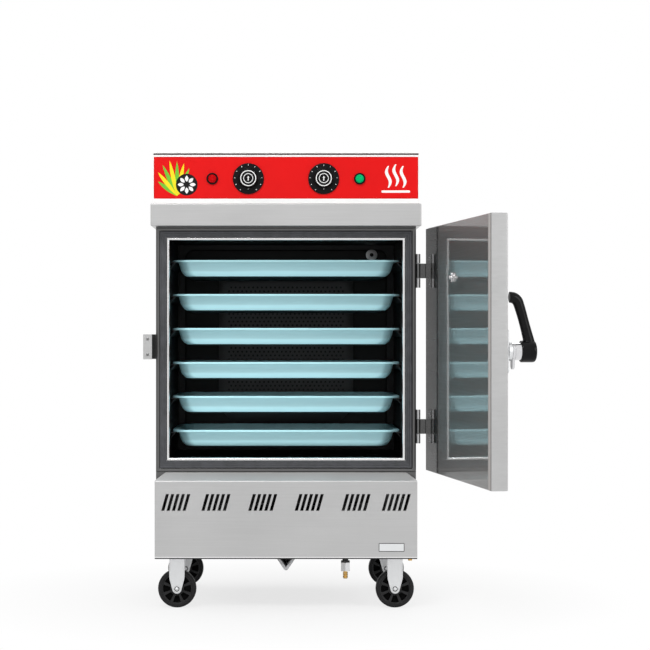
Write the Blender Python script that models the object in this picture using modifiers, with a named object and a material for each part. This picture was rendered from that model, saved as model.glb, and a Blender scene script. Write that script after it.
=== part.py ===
"""Rice steamer cabinet on casters, with its door standing open and six trays inside.

Metres, Z up, X to the right and Y away from the viewer. Z is 0 on the lower face of the
access cover under the base, and the cabinet is centred on X and Y.
"""

import math

import bmesh
import bpy
from mathutils import Vector

MM = 0.001

# Everywhere
FIT = 0.3 * MM
SHEET = 1.2 * MM
THIN_SHEET = 1.0 * MM

# Base
BASE_WIDTH = 677 * MM
BASE_DEPTH = 600 * MM
BASE_HEIGHT = 201 * MM
BASE_HEM = 4 * MM
LEDGE_RISE = 20 * MM
LEDGE_DEPTH = 46.7 * MM
LEDGE_HIP = 26 * MM
DECK_MARGIN_SIDE = 48.5 * MM
DECK_MARGIN_END = 60 * MM
VENT_OFFSET_SHARES = (0.177, 0.533, 0.839)
VENT_WIDTH = 75 * MM
VENT_HEIGHT = 43 * MM
VENT_CENTRE_SHARE = 0.726
VENT_SLOTS = 5
VENT_SLOT_WIDTH_SHARE = 0.107
VENT_SLOT_LEAN_SHARE = 0.16
PLATE_THICKNESS = 1.5 * MM
COVER_WIDTH = 300 * MM
COVER_DEPTH = 200 * MM
RATING_WIDTH = 66 * MM
RATING_HEIGHT = 22 * MM
RATING_THICKNESS = 0.6 * MM
RATING_LIFT = 19 * MM
RATING_OFFSET_SHARE = 0.8035

# Body
BODY_SIDE_STEP = 0.5 * MM
BODY_HEIGHT = 713.2 * MM
FRAME_DEPTH = 12 * MM
FRAME_SIDE = 34 * MM
FRAME_BOTTOM = 37.2 * MM
FRAME_TOP = 32.7 * MM
FRAME_HEADROOM = 2.8 * MM
CHANNEL_START_SHARE = 0.25
CHANNEL_END_SHARE = 0.77
LIP_END_SHARE = 0.91
FRAME_FOOT_SHARE = 0.7
CHANNEL_DEPTH = 4 * MM
LIP_BEVEL = 3 * MM
SEAL_PROUD = 3.5 * MM
SEAL_GROOVE = 2 * MM
REAR_WALL = 75 * MM
CHAMBER_SIDE_STEP = 3.5 * MM
CHAMBER_LOW_STEP = 7.5 * MM
CHAMBER_TOP_STEP = 8 * MM
LINER_FLANGE = 22 * MM
FLOOR_HOLE_SIDE = 66 * MM
FLOOR_HOLE_FRONT = 75.7 * MM
FLOOR_HOLE_REAR = 60 * MM
INSULATION_SIDE = 22.5 * MM
INSULATION_TOP = 40 * MM
INSULATION_REAR = 24 * MM

# Chamber
REAR_PANEL_DEPTH = 3.7 * MM
REAR_PANEL_SIDE = 20 * MM
REAR_PANEL_TOP = 12 * MM
REAR_PANEL_LOW = 15 * MM
REAR_PANEL_RADIUS = 25 * MM
REAR_PANEL_SLOPE = 3 * MM
DUCT_SIDE = 116 * MM
DUCT_DROP = 96 * MM
DUCT_DEPTH = 15.7 * MM
DUCT_LIFT = 77 * MM
DUCT_CHAMFER = 42 * MM
DUCT_HOLE_COLUMNS = 6
DUCT_HOLE_ROWS = 7
DUCT_HOLE_RADIUS_SHARE = 0.18
DUCT_HOLE_FIELD_SHARE = 0.863
PORT_OFFSET_SHARE = 0.794
PORT_DROP = 27 * MM
PORT_DIAMETER = 33 * MM
PORT_FLANGE = 3 * MM
PORT_TUBE_DIAMETER = 16 * MM
PORT_TUBE_LENGTH = 9 * MM
PORT_BORE_DIAMETER = 11 * MM
TRAY_COUNT = 6
TRAY_HEADROOM = 57 * MM
TRAY_HEIGHT = 46 * MM
TRAY_INSET = 52 * MM
TRAY_REAR_CLEARANCE = 6 * MM
TRAY_SIDE_CLEARANCE = 4.5 * MM
TRAY_RIM = 14 * MM
TRAY_LIP = 5.5 * MM
TRAY_RADIUS = 30 * MM
TRAY_TAPER = 11 * MM
TRAY_TOE = 12 * MM
TRAY_TOE_HEIGHT = 7 * MM
TRAY_LIFT = 76.5 * MM
TRAY_ARC_POINTS = 4
LEDGE_CLEARANCE = 2 * MM
RACK_RIB_DROP = 17 * MM
RACK_TOP_MARGIN = 22 * MM
RACK_LOW_MARGIN = 10 * MM
RACK_FRONT_OVERRUN = 12 * MM
RACK_REAR_OVERRUN = 3 * MM

# Water and heat
TANK_SIDE_MARGIN = 20 * MM
TANK_DEPTH = 115 * MM
TANK_FLANGE = 15 * MM
STEAM_PLATE_THICKNESS = 1.5 * MM
STEAM_PLATE_OVERLAP = 10 * MM
STEAM_HOLE_COLUMNS = 5
STEAM_HOLE_ROWS = 4
STEAM_HOLE_RADIUS_SHARE = 0.24
ELEMENT_DIAMETER = 10 * MM
ELEMENT_BEND = 45 * MM
ELEMENT_OFFSET_SHARE = 0.5
ELEMENT_LIFT = 22 * MM
ELEMENT_REACH_SHARE = 0.75
BURNER_DIAMETER = 200 * MM
BURNER_RING_WIDTH = 32 * MM
BURNER_RING_HEIGHT = 24 * MM
BURNER_CLEARANCE = 30 * MM
BURNER_LEG_DIAMETER = 14 * MM
BURNER_TUBE_DIAMETER = 16 * MM

# Under the base
GUTTER_WIDTH = 56 * MM
GUTTER_DROP = 36.5 * MM
GUTTER_WALL = 6.5 * MM
GUTTER_INSET = 15 * MM
GUTTER_LENGTH = 165 * MM
GUTTER_APEX_RADIUS = 6 * MM
GAS_OFFSET_SHARE = 0.455
GAS_INSET = 38 * MM
GAS_NECK_DIAMETER = 15 * MM
GAS_NECK_LENGTH = 13.5 * MM
GAS_COLLAR_DIAMETER = 23 * MM
GAS_COLLAR_LENGTH = 4 * MM
GAS_STEM_DIAMETER = 11.4 * MM
GAS_STEM_LENGTH = 42.4 * MM
GAS_BARB_STEP = 1.1 * MM
GAS_BARB_PITCH = 5.5 * MM
GAS_BORE_DIAMETER = 7 * MM
GAS_NUT_ACROSS = 26 * MM
GAS_NUT_LENGTH = 22.7 * MM
WATER_OFFSET_SHARE = 0.948
WATER_INSET = 20 * MM
WATER_DIAMETER = 11 * MM
WATER_LENGTH = 11.5 * MM
WATER_BORE_DIAMETER = 7 * MM

# Casters
CASTER_SIDE_INSET = 54.5 * MM
CASTER_FRONT_INSET = 74.1 * MM
CASTER_REAR_INSET = 75.9 * MM
CASTER_PLATE_WIDTH = 90 * MM
CASTER_PLATE_DEPTH = 75 * MM
CASTER_PLATE_THICKNESS = 3 * MM
CASTER_AXLE_DROP = 86.5 * MM
CASTER_LEG_WIDTH = 40 * MM
CASTER_LEG_THICKNESS = 3 * MM
CASTER_LEG_STRAIGHT = 60 * MM
CASTER_EYE_RADIUS = 12 * MM
CASTER_NUT_RADIUS = 6.5 * MM
CASTER_NUT_DROP = 7 * MM
CASTER_NUT_INSET = 10 * MM
WHEEL_DIAMETER = 100 * MM
WHEEL_WIDTH = 30 * MM
WHEEL_HUB_DIAMETER = 26 * MM
WHEEL_HUB_STEP = 2.7 * MM
WHEEL_SHOULDER = 3 * MM
WHEEL_POCKETS = 5
WHEEL_POCKET_INNER_SHARE = 0.31
WHEEL_POCKET_OUTER_SHARE = 0.72
WHEEL_POCKET_DEPTH_SHARE = 0.27
AXLE_DIAMETER = 10 * MM
AXLE_HEAD_DIAMETER = 14 * MM
AXLE_HEAD_LENGTH = 3.5 * MM

# Canopy and controls
CANOPY_OVERHANG = 11 * MM
CANOPY_HEIGHT = 57.5 * MM
CONTROL_BOX_HEIGHT = 131.2 * MM
CONTROL_BOX_INSET = 6 * MM
CONTROL_PANEL_THICKNESS = 1.5 * MM
CONTROL_OPENING_SIDE = 40 * MM
CONTROL_OPENING_END = 26 * MM
KNOB_OFFSET_SHARE = 0.283
KNOB_HEIGHT_SHARE = 0.4855
KNOB_DIAMETER = 80 * MM
KNOB_SKIRT = 5 * MM
KNOB_CAP_DIAMETER = 55 * MM
KNOB_TOP_DIAMETER = 46 * MM
KNOB_DISH_DIAMETER = 20 * MM
KNOB_DISH_DEPTH = 2 * MM
KNOB_LENGTH = 21 * MM
KNOB_BORE_DEPTH = 13 * MM
SPINDLE_DIAMETER = 6 * MM
SPINDLE_HOLE_DIAMETER = 9 * MM
CONTROL_BODY_WIDTH = 58 * MM
CONTROL_BODY_DEPTH = 46 * MM
LAMP_OFFSET_SHARE = 0.554
LAMP_DIAMETER = 30 * MM
LAMP_LENS_DIAMETER = 22 * MM
LAMP_PROUD = 6 * MM
LAMP_DOME = 3.5 * MM

# Door
DOOR_OPEN_DEGREES = 98
DOOR_OVERLAP = 6 * MM
DOOR_FLOAT = 2 * MM
DOOR_HEADROOM = 3 * MM
DOOR_STANDOFF = 4 * MM
DOOR_THICKNESS = 46 * MM
DOOR_INNER_DEPTH = 6.3 * MM
DOOR_INNER_INSET = 2 * MM
DOOR_RETURN = 14 * MM
DOOR_CORNER = 3 * MM
HINGE_SETBACK = 15 * MM
HINGE_DIAMETER = 12 * MM
HINGE_STANDOFF = 0.5 * MM
HINGE_PIN_DIAMETER = 6 * MM
HINGE_LEAF = 2.5 * MM
HINGE_LEAF_OFFSET = 0.7 * MM
HINGE_FRAME_LEAF_LENGTH = 45 * MM
HINGE_DOOR_LEAF_LENGTH = 60 * MM
HINGE_HEIGHT = 88 * MM
HINGE_MIDDLE = 38.5 * MM
HINGE_KNUCKLE_GAP = 0.5 * MM
HINGE_UPPER_SHARE = 0.824
HINGE_LOWER_SHARE = 0.183
VALVE_OFFSET_SHARE = 0.4714
VALVE_HEIGHT_SHARE = 0.783
VALVE_STEM_DIAMETER = 12 * MM
VALVE_FLANGE_DIAMETER = 25 * MM
VALVE_FLANGE_DEPTH = 2 * MM
VALVE_NUT_DIAMETER = 18 * MM
VALVE_NUT_DEPTH = 7 * MM
VALVE_CAP_DEPTH = 5 * MM

# Handle and strike
HANDLE_INSET = 30 * MM
HANDLE_HEIGHT_SHARE = 0.501
HANDLE_BASE_HEIGHT = 101 * MM
HANDLE_BASE_WIDTH = 40 * MM
HANDLE_BASE_DEPTH = 13.9 * MM
HANDLE_BASE_BEVEL = 4 * MM
BOSS_DIAMETER = 40 * MM
BOSS_LENGTH = 27.5 * MM
TONGUE_WIDTH = 20 * MM
TONGUE_THICKNESS = 6 * MM
TONGUE_LENGTH = 41 * MM
TONGUE_LIFT = 0.5 * MM
HUB_DIAMETER = 50 * MM
HUB_START = 36 * MM
HUB_END = 71 * MM
LEVER_DIAMETER = 26 * MM
LEVER_BEND = 20 * MM
LEVER_TOP = 137 * MM
LEVER_END = 10 * MM
LEVER_ROOT = 60 * MM
LEVER_SHOULDER = 56 * MM
LEVER_SHOULDER_HEIGHT = 24 * MM
LEVER_KNEE = 43 * MM
LEVER_KNEE_HEIGHT = 72 * MM
STRIKE_HEIGHT = 64 * MM
STRIKE_RISE = 7 * MM
STRIKE_PLATE = 3 * MM
STRIKE_FLANGE = 45 * MM
STRIKE_CLEARANCE = 1.5 * MM
STRIKE_SIDE_CLEARANCE = 11 * MM
STRIKE_EDGE_CLEARANCE = 2.5 * MM
STRIKE_SCREW_DIAMETER = 8 * MM
STRIKE_SCREW_RISE = 2.5 * MM

# Levels and planes that follow from the sizes
base_half = BASE_WIDTH / 2
base_front = -BASE_DEPTH / 2
base_rear = BASE_DEPTH / 2
deck_z = BASE_HEIGHT - BASE_HEM
ridge_z = deck_z + LEDGE_RISE
ridge_y = base_front + LEDGE_DEPTH
floor_low = PLATE_THICKNESS + FIT
floor_high = floor_low + PLATE_THICKNESS
body_half = base_half - BODY_SIDE_STEP
body_front = ridge_y + FIT
body_rear = base_rear
shell_low = deck_z + FIT
shell_high = shell_low + BODY_HEIGHT
deck_hole_half = base_half - DECK_MARGIN_SIDE
deck_hole_end = base_rear - DECK_MARGIN_END
canopy_top = shell_high + FIT + SHEET
canopy_low = canopy_top - CANOPY_HEIGHT
canopy_half = body_half + CANOPY_OVERHANG
frame_half = body_half - SHEET - FIT
frame_low = ridge_z + FIT
frame_high = canopy_low - FRAME_HEADROOM
frame_rear = body_front + FRAME_DEPTH
opening_half = frame_half - FRAME_SIDE
opening_low = frame_low + FRAME_BOTTOM
opening_high = frame_high - FRAME_TOP
chamber_half = opening_half + CHAMBER_SIDE_STEP
chamber_low = opening_low - CHAMBER_LOW_STEP
chamber_high = opening_high + CHAMBER_TOP_STEP
chamber_front = frame_rear + FIT
chamber_rear = body_rear - REAR_WALL
rear_panel_front = chamber_rear - FIT - REAR_PANEL_DEPTH
duct_front = rear_panel_front - FIT - DUCT_DEPTH
rack_face = chamber_half - FIT - SHEET
tray_half = rack_face - TRAY_SIDE_CLEARANCE
tray_front = body_front + TRAY_INSET
tray_rear = duct_front - TRAY_REAR_CLEARANCE
tray_pitch = (chamber_high - chamber_low - TRAY_LIFT - TRAY_HEADROOM) / (TRAY_COUNT - 1)
tray_tops = [chamber_low + TRAY_LIFT + n * tray_pitch for n in range(TRAY_COUNT)]
floor_hole_half = chamber_half - FLOOR_HOLE_SIDE
floor_hole_front = chamber_front + FLOOR_HOLE_FRONT
floor_hole_rear = chamber_rear - FLOOR_HOLE_REAR
tank_half = floor_hole_half + TANK_SIDE_MARGIN
tank_front = floor_hole_front - TANK_SIDE_MARGIN
tank_rear = floor_hole_rear + TANK_SIDE_MARGIN
tank_high = chamber_low - SHEET - FIT
tank_low = tank_high - TANK_DEPTH
control_half = canopy_half - CONTROL_BOX_INSET
control_low = canopy_top + FIT
control_high = control_low + CONTROL_BOX_HEIGHT
panel_front = base_front + CONTROL_BOX_INSET
control_front = panel_front + CONTROL_PANEL_THICKNESS + FIT
control_rear = base_rear - CONTROL_BOX_INSET
knob_x = control_half * KNOB_OFFSET_SHARE
lamp_x = control_half * LAMP_OFFSET_SHARE
knob_z = control_low + CONTROL_BOX_HEIGHT * KNOB_HEIGHT_SHARE
hinge_x = body_half + HINGE_STANDOFF + HINGE_DIAMETER / 2
hinge_y = body_front + HINGE_SETBACK
door_low = ridge_z + DOOR_FLOAT
door_high = canopy_low - DOOR_HEADROOM
door_height = door_high - door_low
door_edge = -HINGE_LEAF_OFFSET - HINGE_LEAF - FIT
door_width = 2 * body_half + DOOR_OVERLAP
door_free = door_edge - door_width
door_inner = -HINGE_SETBACK - DOOR_STANDOFF
door_outer = door_inner - DOOR_THICKNESS
pan_inner = door_inner - DOOR_INNER_DEPTH - FIT
hinge_zs = [door_low + door_height * s for s in (HINGE_UPPER_SHARE, HINGE_LOWER_SHARE)]
valve_a = door_edge - door_width * VALVE_OFFSET_SHARE
valve_z = door_low + door_height * VALVE_HEIGHT_SHARE
handle_a = door_free + HANDLE_INSET
handle_z = door_low + door_height * HANDLE_HEIGHT_SHARE
boss_start = FIT + HANDLE_BASE_DEPTH + FIT
tongue_start = boss_start + TONGUE_LIFT
tongue_end = tongue_start + TONGUE_THICKNESS
caster_x = base_half - CASTER_SIDE_INSET
caster_front = base_front + CASTER_FRONT_INSET
caster_rear = base_rear - CASTER_REAR_INSET
caster_plate_low = floor_low - FIT - CASTER_PLATE_THICKNESS
axle_z = caster_plate_low - CASTER_AXLE_DROP
gas_x = base_half * GAS_OFFSET_SHARE
gas_y = base_front + GAS_INSET

TURN_TO_FRONT = (math.radians(90), 0, 0)


def clear_scene():
    for obj in list(bpy.data.objects):
        bpy.data.objects.remove(obj)
    for collection in list(bpy.data.collections):
        bpy.data.collections.remove(collection)


def new_collection(name, helper=False):
    collection = bpy.data.collections.new(name)
    bpy.context.scene.collection.children.link(collection)
    collection.hide_render = helper
    return collection


def new_material(name, colour, roughness, metallic=0.0):
    material = bpy.data.materials.new(name)
    material.use_nodes = True
    shader = material.node_tree.nodes["Principled BSDF"]
    shader.inputs["Base Color"].default_value = (*colour, 1)
    shader.inputs["Roughness"].default_value = roughness
    shader.inputs["Metallic"].default_value = metallic
    material.diffuse_color = (*colour, 1)
    return material


clear_scene()
PARTS = new_collection("rice_steamer_cabinet")
CUTTERS = new_collection("cutters", helper=True)

STEEL = new_material("brushed_steel", (0.62, 0.61, 0.59), 0.32, 1.0)
LINER_STEEL = new_material("liner_steel", (0.66, 0.66, 0.65), 0.24, 1.0)
MIRROR_STEEL = new_material("door_liner_steel", (0.7, 0.7, 0.69), 0.12, 1.0)
TRAY_STEEL = new_material("tray_film_steel", (0.3, 0.58, 0.64), 0.25, 1.0)
CHROME = new_material("chrome", (0.78, 0.78, 0.78), 0.08, 1.0)
ZINC = new_material("zinc_plate", (0.5, 0.5, 0.48), 0.38, 1.0)
BRASS = new_material("brass", (0.75, 0.55, 0.25), 0.3, 1.0)
IRON = new_material("cast_iron", (0.06, 0.06, 0.06), 0.7, 0.6)
BLACK_PLASTIC = new_material("black_plastic", (0.015, 0.015, 0.016), 0.35)
SILICONE = new_material("grey_silicone", (0.08, 0.085, 0.1), 0.6)
RED_PANEL = new_material("red_panel", (0.6, 0.02, 0.02), 0.35)
RED_LENS = new_material("red_lens", (0.7, 0.02, 0.02), 0.15)
GREEN_LENS = new_material("green_lens", (0.02, 0.45, 0.1), 0.15)
WHEEL_RUBBER = new_material("wheel_rubber", (0.012, 0.012, 0.013), 0.6)
GUTTER_PLASTIC = new_material("grey_plastic", (0.35, 0.35, 0.36), 0.5)
WOOL = new_material("mineral_wool", (0.6, 0.52, 0.36), 0.95)
LABEL = new_material("label_foil", (0.7, 0.7, 0.7), 0.4, 0.5)


def place(obj, material=None, at=(0, 0, 0), turn=(0, 0, 0), parent=None):
    """Puts an object in the scene: with a material it is a part, without one a cutter."""
    collection = PARTS if material else CUTTERS
    collection.objects.link(obj)
    obj.location = at
    obj.rotation_euler = turn
    obj.parent = parent
    if material:
        obj.data.materials.append(material)
    else:
        obj.hide_render = True
        obj.display_type = "WIRE"
    return obj


def mesh_from(name, points, faces, outward=True, smooth=False):
    mesh = bpy.data.meshes.new(name)
    mesh.from_pydata([tuple(p) for p in points], [], faces)
    if outward:
        work = bmesh.new()
        work.from_mesh(mesh)
        bmesh.ops.remove_doubles(work, verts=work.verts, dist=0.01 * MM)
        bmesh.ops.recalc_face_normals(work, faces=work.faces)
        work.to_mesh(mesh)
        work.free()
    if smooth:
        mesh.polygons.foreach_set("use_smooth", [True] * len(mesh.polygons))
        mesh.set_sharp_from_angle(angle=math.radians(40))
    return mesh


def spread(outline, axis, along):
    """3-D points of a flat outline that stands across an axis."""
    if axis == "X":
        return [(along, a, b) for a, b in outline]
    if axis == "Y":
        return [(a, along, b) for a, b in outline]
    return [(a, b, along) for a, b in outline]


def prisms(name, outlines, axis, start, end, material=None, smooth=False, **where):
    """One object made of an upright extrusion of each outline along an axis."""
    points = []
    faces = []
    for outline in outlines:
        first = len(points)
        count = len(outline)
        points += spread(outline, axis, start) + spread(outline, axis, end)
        near = list(range(first, first + count))
        far = [n + count for n in near]
        faces += [near[::-1], far]
        for n in range(count):
            m = (n + 1) % count
            faces.append([near[n], near[m], far[m], far[n]])
    mesh = mesh_from(name, points, faces, smooth=smooth)
    return place(bpy.data.objects.new(name, mesh), material, **where)


def box(name, low, high, material=None, **where):
    corners = [(low[0], low[1]), (high[0], low[1]), (high[0], high[1]), (low[0], high[1])]
    return prisms(name, [corners], "Z", low[2], high[2], material, **where)


def folded(name, panels, material, thickness=SHEET, side=-1, bend=0, **where):
    """A sheet-metal piece from flat panels that share their edges. Side -1 grows the sheet inward."""
    points = []
    faces = []
    for panel in panels:
        faces.append(list(range(len(points), len(points) + len(panel))))
        points += panel
    mesh = mesh_from(name, points, faces)
    obj = place(bpy.data.objects.new(name, mesh), material, **where)
    if bend:
        bevel(obj, bend, 2)
    thicken(obj, thickness, side)
    return obj


def around_hole(outer, inner):
    """The four panels between an outline of four corners and a hole of four corners."""
    panels = []
    for n in range(4):
        m = (n + 1) % 4
        panels.append([outer[n], outer[m], inner[m], inner[n]])
    return panels


def loft(name, loops, material, cap=False, ring=False, smooth=False, **where):
    """A skin over loops that have the same number of points."""
    count = len(loops[0])
    points = [p for loop in loops for p in loop]
    faces = []
    last = len(loops) if ring else len(loops) - 1
    for k in range(last):
        here = k * count
        there = (k + 1) % len(loops) * count
        for n in range(count):
            m = (n + 1) % count
            faces.append([here + n, here + m, there + m, there + n])
    if cap:
        faces.append(list(range(len(points) - count, len(points))))
    mesh = mesh_from(name, points, faces, outward=ring, smooth=smooth)
    return place(bpy.data.objects.new(name, mesh), material, **where)


def lathe(name, profile, material=None, steps=24, ring=False, **where):
    """A turned piece. The profile lists (radius, height) down its outer side."""
    mesh = bpy.data.meshes.new(name)
    edges = [(n, n + 1) for n in range(len(profile) - 1)]
    if ring:
        edges.append((len(profile) - 1, 0))
    mesh.from_pydata([(r, 0, h) for r, h in profile], edges, [])
    obj = place(bpy.data.objects.new(name, mesh), material, **where)
    screw = obj.modifiers.new("turn", "SCREW")
    screw.axis = "Z"
    screw.angle = math.radians(360)
    screw.steps = steps
    screw.render_steps = steps
    screw.use_merge_vertices = True
    screw.merge_threshold = 0.01 * MM
    return obj


def tube(name, path, radius, material=None, sides=3, **where):
    """A round bar along a path, as a mesh that a Boolean can take."""
    curve = bpy.data.curves.new(name, "CURVE")
    curve.dimensions = "3D"
    curve.bevel_depth = radius
    curve.bevel_resolution = sides
    curve.use_fill_caps = True
    spline = curve.splines.new("POLY")
    spline.points.add(len(path) - 1)
    for point, spot in zip(spline.points, path):
        point.co = (*spot, 1)
    guide = bpy.data.objects.new(name + "_guide", curve)
    CUTTERS.objects.link(guide)
    graph = bpy.context.evaluated_depsgraph_get()
    mesh = bpy.data.meshes.new_from_object(guide.evaluated_get(graph))
    bpy.data.objects.remove(guide)
    work = bmesh.new()
    work.from_mesh(mesh)
    bmesh.ops.remove_doubles(work, verts=work.verts, dist=0.01 * MM)
    bmesh.ops.recalc_face_normals(work, faces=work.faces)
    work.to_mesh(mesh)
    work.free()
    mesh.polygons.foreach_set("use_smooth", [True] * len(mesh.polygons))
    mesh.set_sharp_from_angle(angle=math.radians(50))
    return place(bpy.data.objects.new(name, mesh), material, **where)


def thicken(obj, thickness, side=-1):
    solid = obj.modifiers.new("sheet", "SOLIDIFY")
    solid.thickness = thickness
    solid.offset = side
    solid.use_even_offset = True
    solid.use_quality_normals = True
    return obj


def bevel(obj, width, segments=1, degrees=40):
    edge = obj.modifiers.new("edge", "BEVEL")
    edge.width = width
    edge.segments = segments
    edge.limit_method = "ANGLE"
    edge.angle_limit = math.radians(degrees)
    edge.use_clamp_overlap = True
    return obj


def boolean(obj, other, operation):
    change = obj.modifiers.new(other.name, "BOOLEAN")
    change.operation = operation
    change.solver = "EXACT"
    change.object = other
    return obj


def cut(obj, *cutters):
    for cutter in cutters:
        boolean(obj, cutter, "DIFFERENCE")
    return obj


def join(obj, *others):
    for other in others:
        boolean(obj, other, "UNION")
    return obj


def round_cutter(name, at, radius, start, end, turn=TURN_TO_FRONT, parent=None, sides=16):
    """A straight round cutter along its own axis, from start to end."""
    ring = polygon(radius, sides)
    return prisms(name, [ring], "Z", start, end, at=at, turn=turn, parent=parent)


def polygon(radius, sides, centre=(0, 0), phase=0.5):
    points = []
    for n in range(sides):
        angle = math.tau * (n + phase) / sides
        points.append((centre[0] + radius * math.cos(angle), centre[1] + radius * math.sin(angle)))
    return points


def rounded_rectangle(half_x, half_y, radius, arc_points, centre=(0, 0)):
    points = []
    for quarter, (sx, sy) in enumerate(((1, 1), (-1, 1), (-1, -1), (1, -1))):
        for n in range(arc_points):
            angle = math.radians(90 * (quarter + n / (arc_points - 1)))
            x = sx * (half_x - radius) + radius * math.cos(angle)
            y = sy * (half_y - radius) + radius * math.sin(angle)
            points.append((centre[0] + x, centre[1] + y))
    return points


def new_pivot(name, at, turn=(0, 0, 0), parent=None):
    pivot = bpy.data.objects.new(name, None)
    pivot.empty_display_size = 20 * MM
    PARTS.objects.link(pivot)
    pivot.location = at
    pivot.rotation_euler = turn
    pivot.parent = parent
    return pivot


DOOR = new_pivot("door_pivot", (hinge_x, hinge_y, 0), (0, 0, math.radians(DOOR_OPEN_DEGREES)))
HANDLE = new_pivot("handle_pivot", (handle_a, door_outer, handle_z), TURN_TO_FRONT, DOOR)


def base_skirt():
    left, right = -base_half, base_half
    hem = -BASE_HEM
    front = [(left, base_front, deck_z), (right, base_front, deck_z)]
    ridge = [(left + LEDGE_HIP, ridge_y, ridge_z), (right - LEDGE_HIP, ridge_y, ridge_z)]
    foot = [(left, ridge_y, deck_z), (right, ridge_y, deck_z)]
    rear = [(left, base_rear, deck_z), (right, base_rear, deck_z)]
    low_front = [(left, base_front, hem), (right, base_front, hem)]
    low_rear = [(left, base_rear, hem), (right, base_rear, hem)]
    hole_x, hole_y = deck_hole_half, deck_hole_end
    hole = [(-hole_x, -hole_y), (hole_x, -hole_y), (hole_x, hole_y), (-hole_x, hole_y)]
    hole = [(x, y, deck_z) for x, y in hole]
    panels = [
        [low_front[0], low_front[1], front[1], front[0]],
        [low_rear[0], low_rear[1], rear[1], rear[0]],
        [low_front[0], front[0], foot[0], rear[0], low_rear[0]],
        [low_front[1], front[1], foot[1], rear[1], low_rear[1]],
        [front[0], front[1], ridge[1], ridge[0]],
        [front[0], ridge[0], foot[0]],
        [front[1], ridge[1], foot[1]],
        [ridge[0], ridge[1], foot[1], foot[0]],
    ]
    panels += around_hole([foot[0], foot[1], rear[1], rear[0]], hole)
    skirt = folded("base_skirt", panels, STEEL)
    slots = []
    lean = VENT_WIDTH * VENT_SLOT_LEAN_SHARE
    wide = VENT_WIDTH * VENT_SLOT_WIDTH_SHARE
    pitch = (VENT_WIDTH - wide - lean) / (VENT_SLOTS - 1)
    middle = hem + BASE_HEIGHT * VENT_CENTRE_SHARE
    low, high = middle - VENT_HEIGHT / 2, middle + VENT_HEIGHT / 2
    for share in VENT_OFFSET_SHARES:
        for side in (-1, 1):
            start = side * share * base_half - VENT_WIDTH / 2
            for n in range(VENT_SLOTS):
                x = start + n * pitch
                slots.append([(x, low), (x + wide, low), (x + wide + lean, high), (x + lean, high)])
    past = 4 * SHEET
    cut(skirt, prisms("vent_cutter", slots, "Y", base_front - past, base_front + past))


def floor_and_cover():
    half = base_half - SHEET - FIT
    end = base_rear - SHEET - FIT
    box("base_floor", (-half, -end, floor_low), (half, end, floor_high), STEEL)
    wide, deep = COVER_WIDTH / 2, COVER_DEPTH / 2
    box("access_cover", (-wide, -deep, 0), (wide, deep, PLATE_THICKNESS), STEEL)


def rating_plate():
    x = base_half * RATING_OFFSET_SHARE
    low = RATING_LIFT - BASE_HEM
    near = base_front - FIT
    corner = (x - RATING_WIDTH / 2, near - RATING_THICKNESS, low)
    box("rating_plate", corner, (x + RATING_WIDTH / 2, near, low + RATING_HEIGHT), LABEL)


def outer_shell():
    low, high = shell_low, shell_high
    gate_low, gate_high = ridge_z, frame_high + FIT
    sides = []
    for x in (-body_half, body_half):
        edge = [(x, body_front, z) for z in (low, gate_low, gate_high, high)]
        sides.append(edge + [(x, body_rear, high), (x, body_rear, low)])
    left, right = sides
    panels = [
        left,
        right,
        [left[0], right[0], right[1], left[1]],
        [left[2], right[2], right[3], left[3]],
        [left[3], right[3], right[4], left[4]],
        [left[4], right[4], right[5], left[5]],
    ]
    hole_x, hole_y = deck_hole_half, deck_hole_end
    hole = [(-hole_x, -hole_y), (hole_x, -hole_y), (hole_x, hole_y), (-hole_x, hole_y)]
    hole = [(x, y, low) for x, y in hole]
    panels += around_hole([left[0], right[0], right[5], left[5]], hole)
    folded("outer_shell", panels, STEEL)


def frame_loop(share, y):
    """A rectangle between the frame's outer edge and its opening, at a depth."""
    half = frame_half - FRAME_SIDE * share
    low = frame_low + FRAME_BOTTOM * share
    high = frame_high - FRAME_TOP * share
    return [(-half, y, low), (half, y, low), (half, y, high), (-half, y, high)]


def door_frame():
    front, deep = body_front, body_front + CHANNEL_DEPTH
    section = [
        (0, frame_rear),
        (0, front),
        (CHANNEL_START_SHARE, front),
        (CHANNEL_START_SHARE, deep),
        (CHANNEL_END_SHARE, deep),
        (CHANNEL_END_SHARE, front),
        (LIP_END_SHARE, front),
        (1, front + LIP_BEVEL),
        (1, frame_rear),
        (FRAME_FOOT_SHARE, frame_rear),
    ]
    frame = loft("door_frame", [frame_loop(s, y) for s, y in section], STEEL)
    thicken(frame, SHEET)


def door_seal():
    back = body_front + CHANNEL_DEPTH - FIT
    edge = FIT / FRAME_TOP
    start, end = CHANNEL_START_SHARE + edge, CHANNEL_END_SHARE - edge
    high = body_front - SEAL_PROUD
    low = high + SEAL_GROOVE
    ridges = 3
    section = [(start, back)]
    for n in range(ridges):
        width = (end - start) / ridges
        section.append((start + width * n, low))
        section.append((start + width * (n + 0.35), high))
        section.append((start + width * (n + 0.65), high))
    section += [(end, low), (end, back)]
    loft("door_seal", [frame_loop(s, y) for s, y in section], SILICONE, ring=True)


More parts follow.
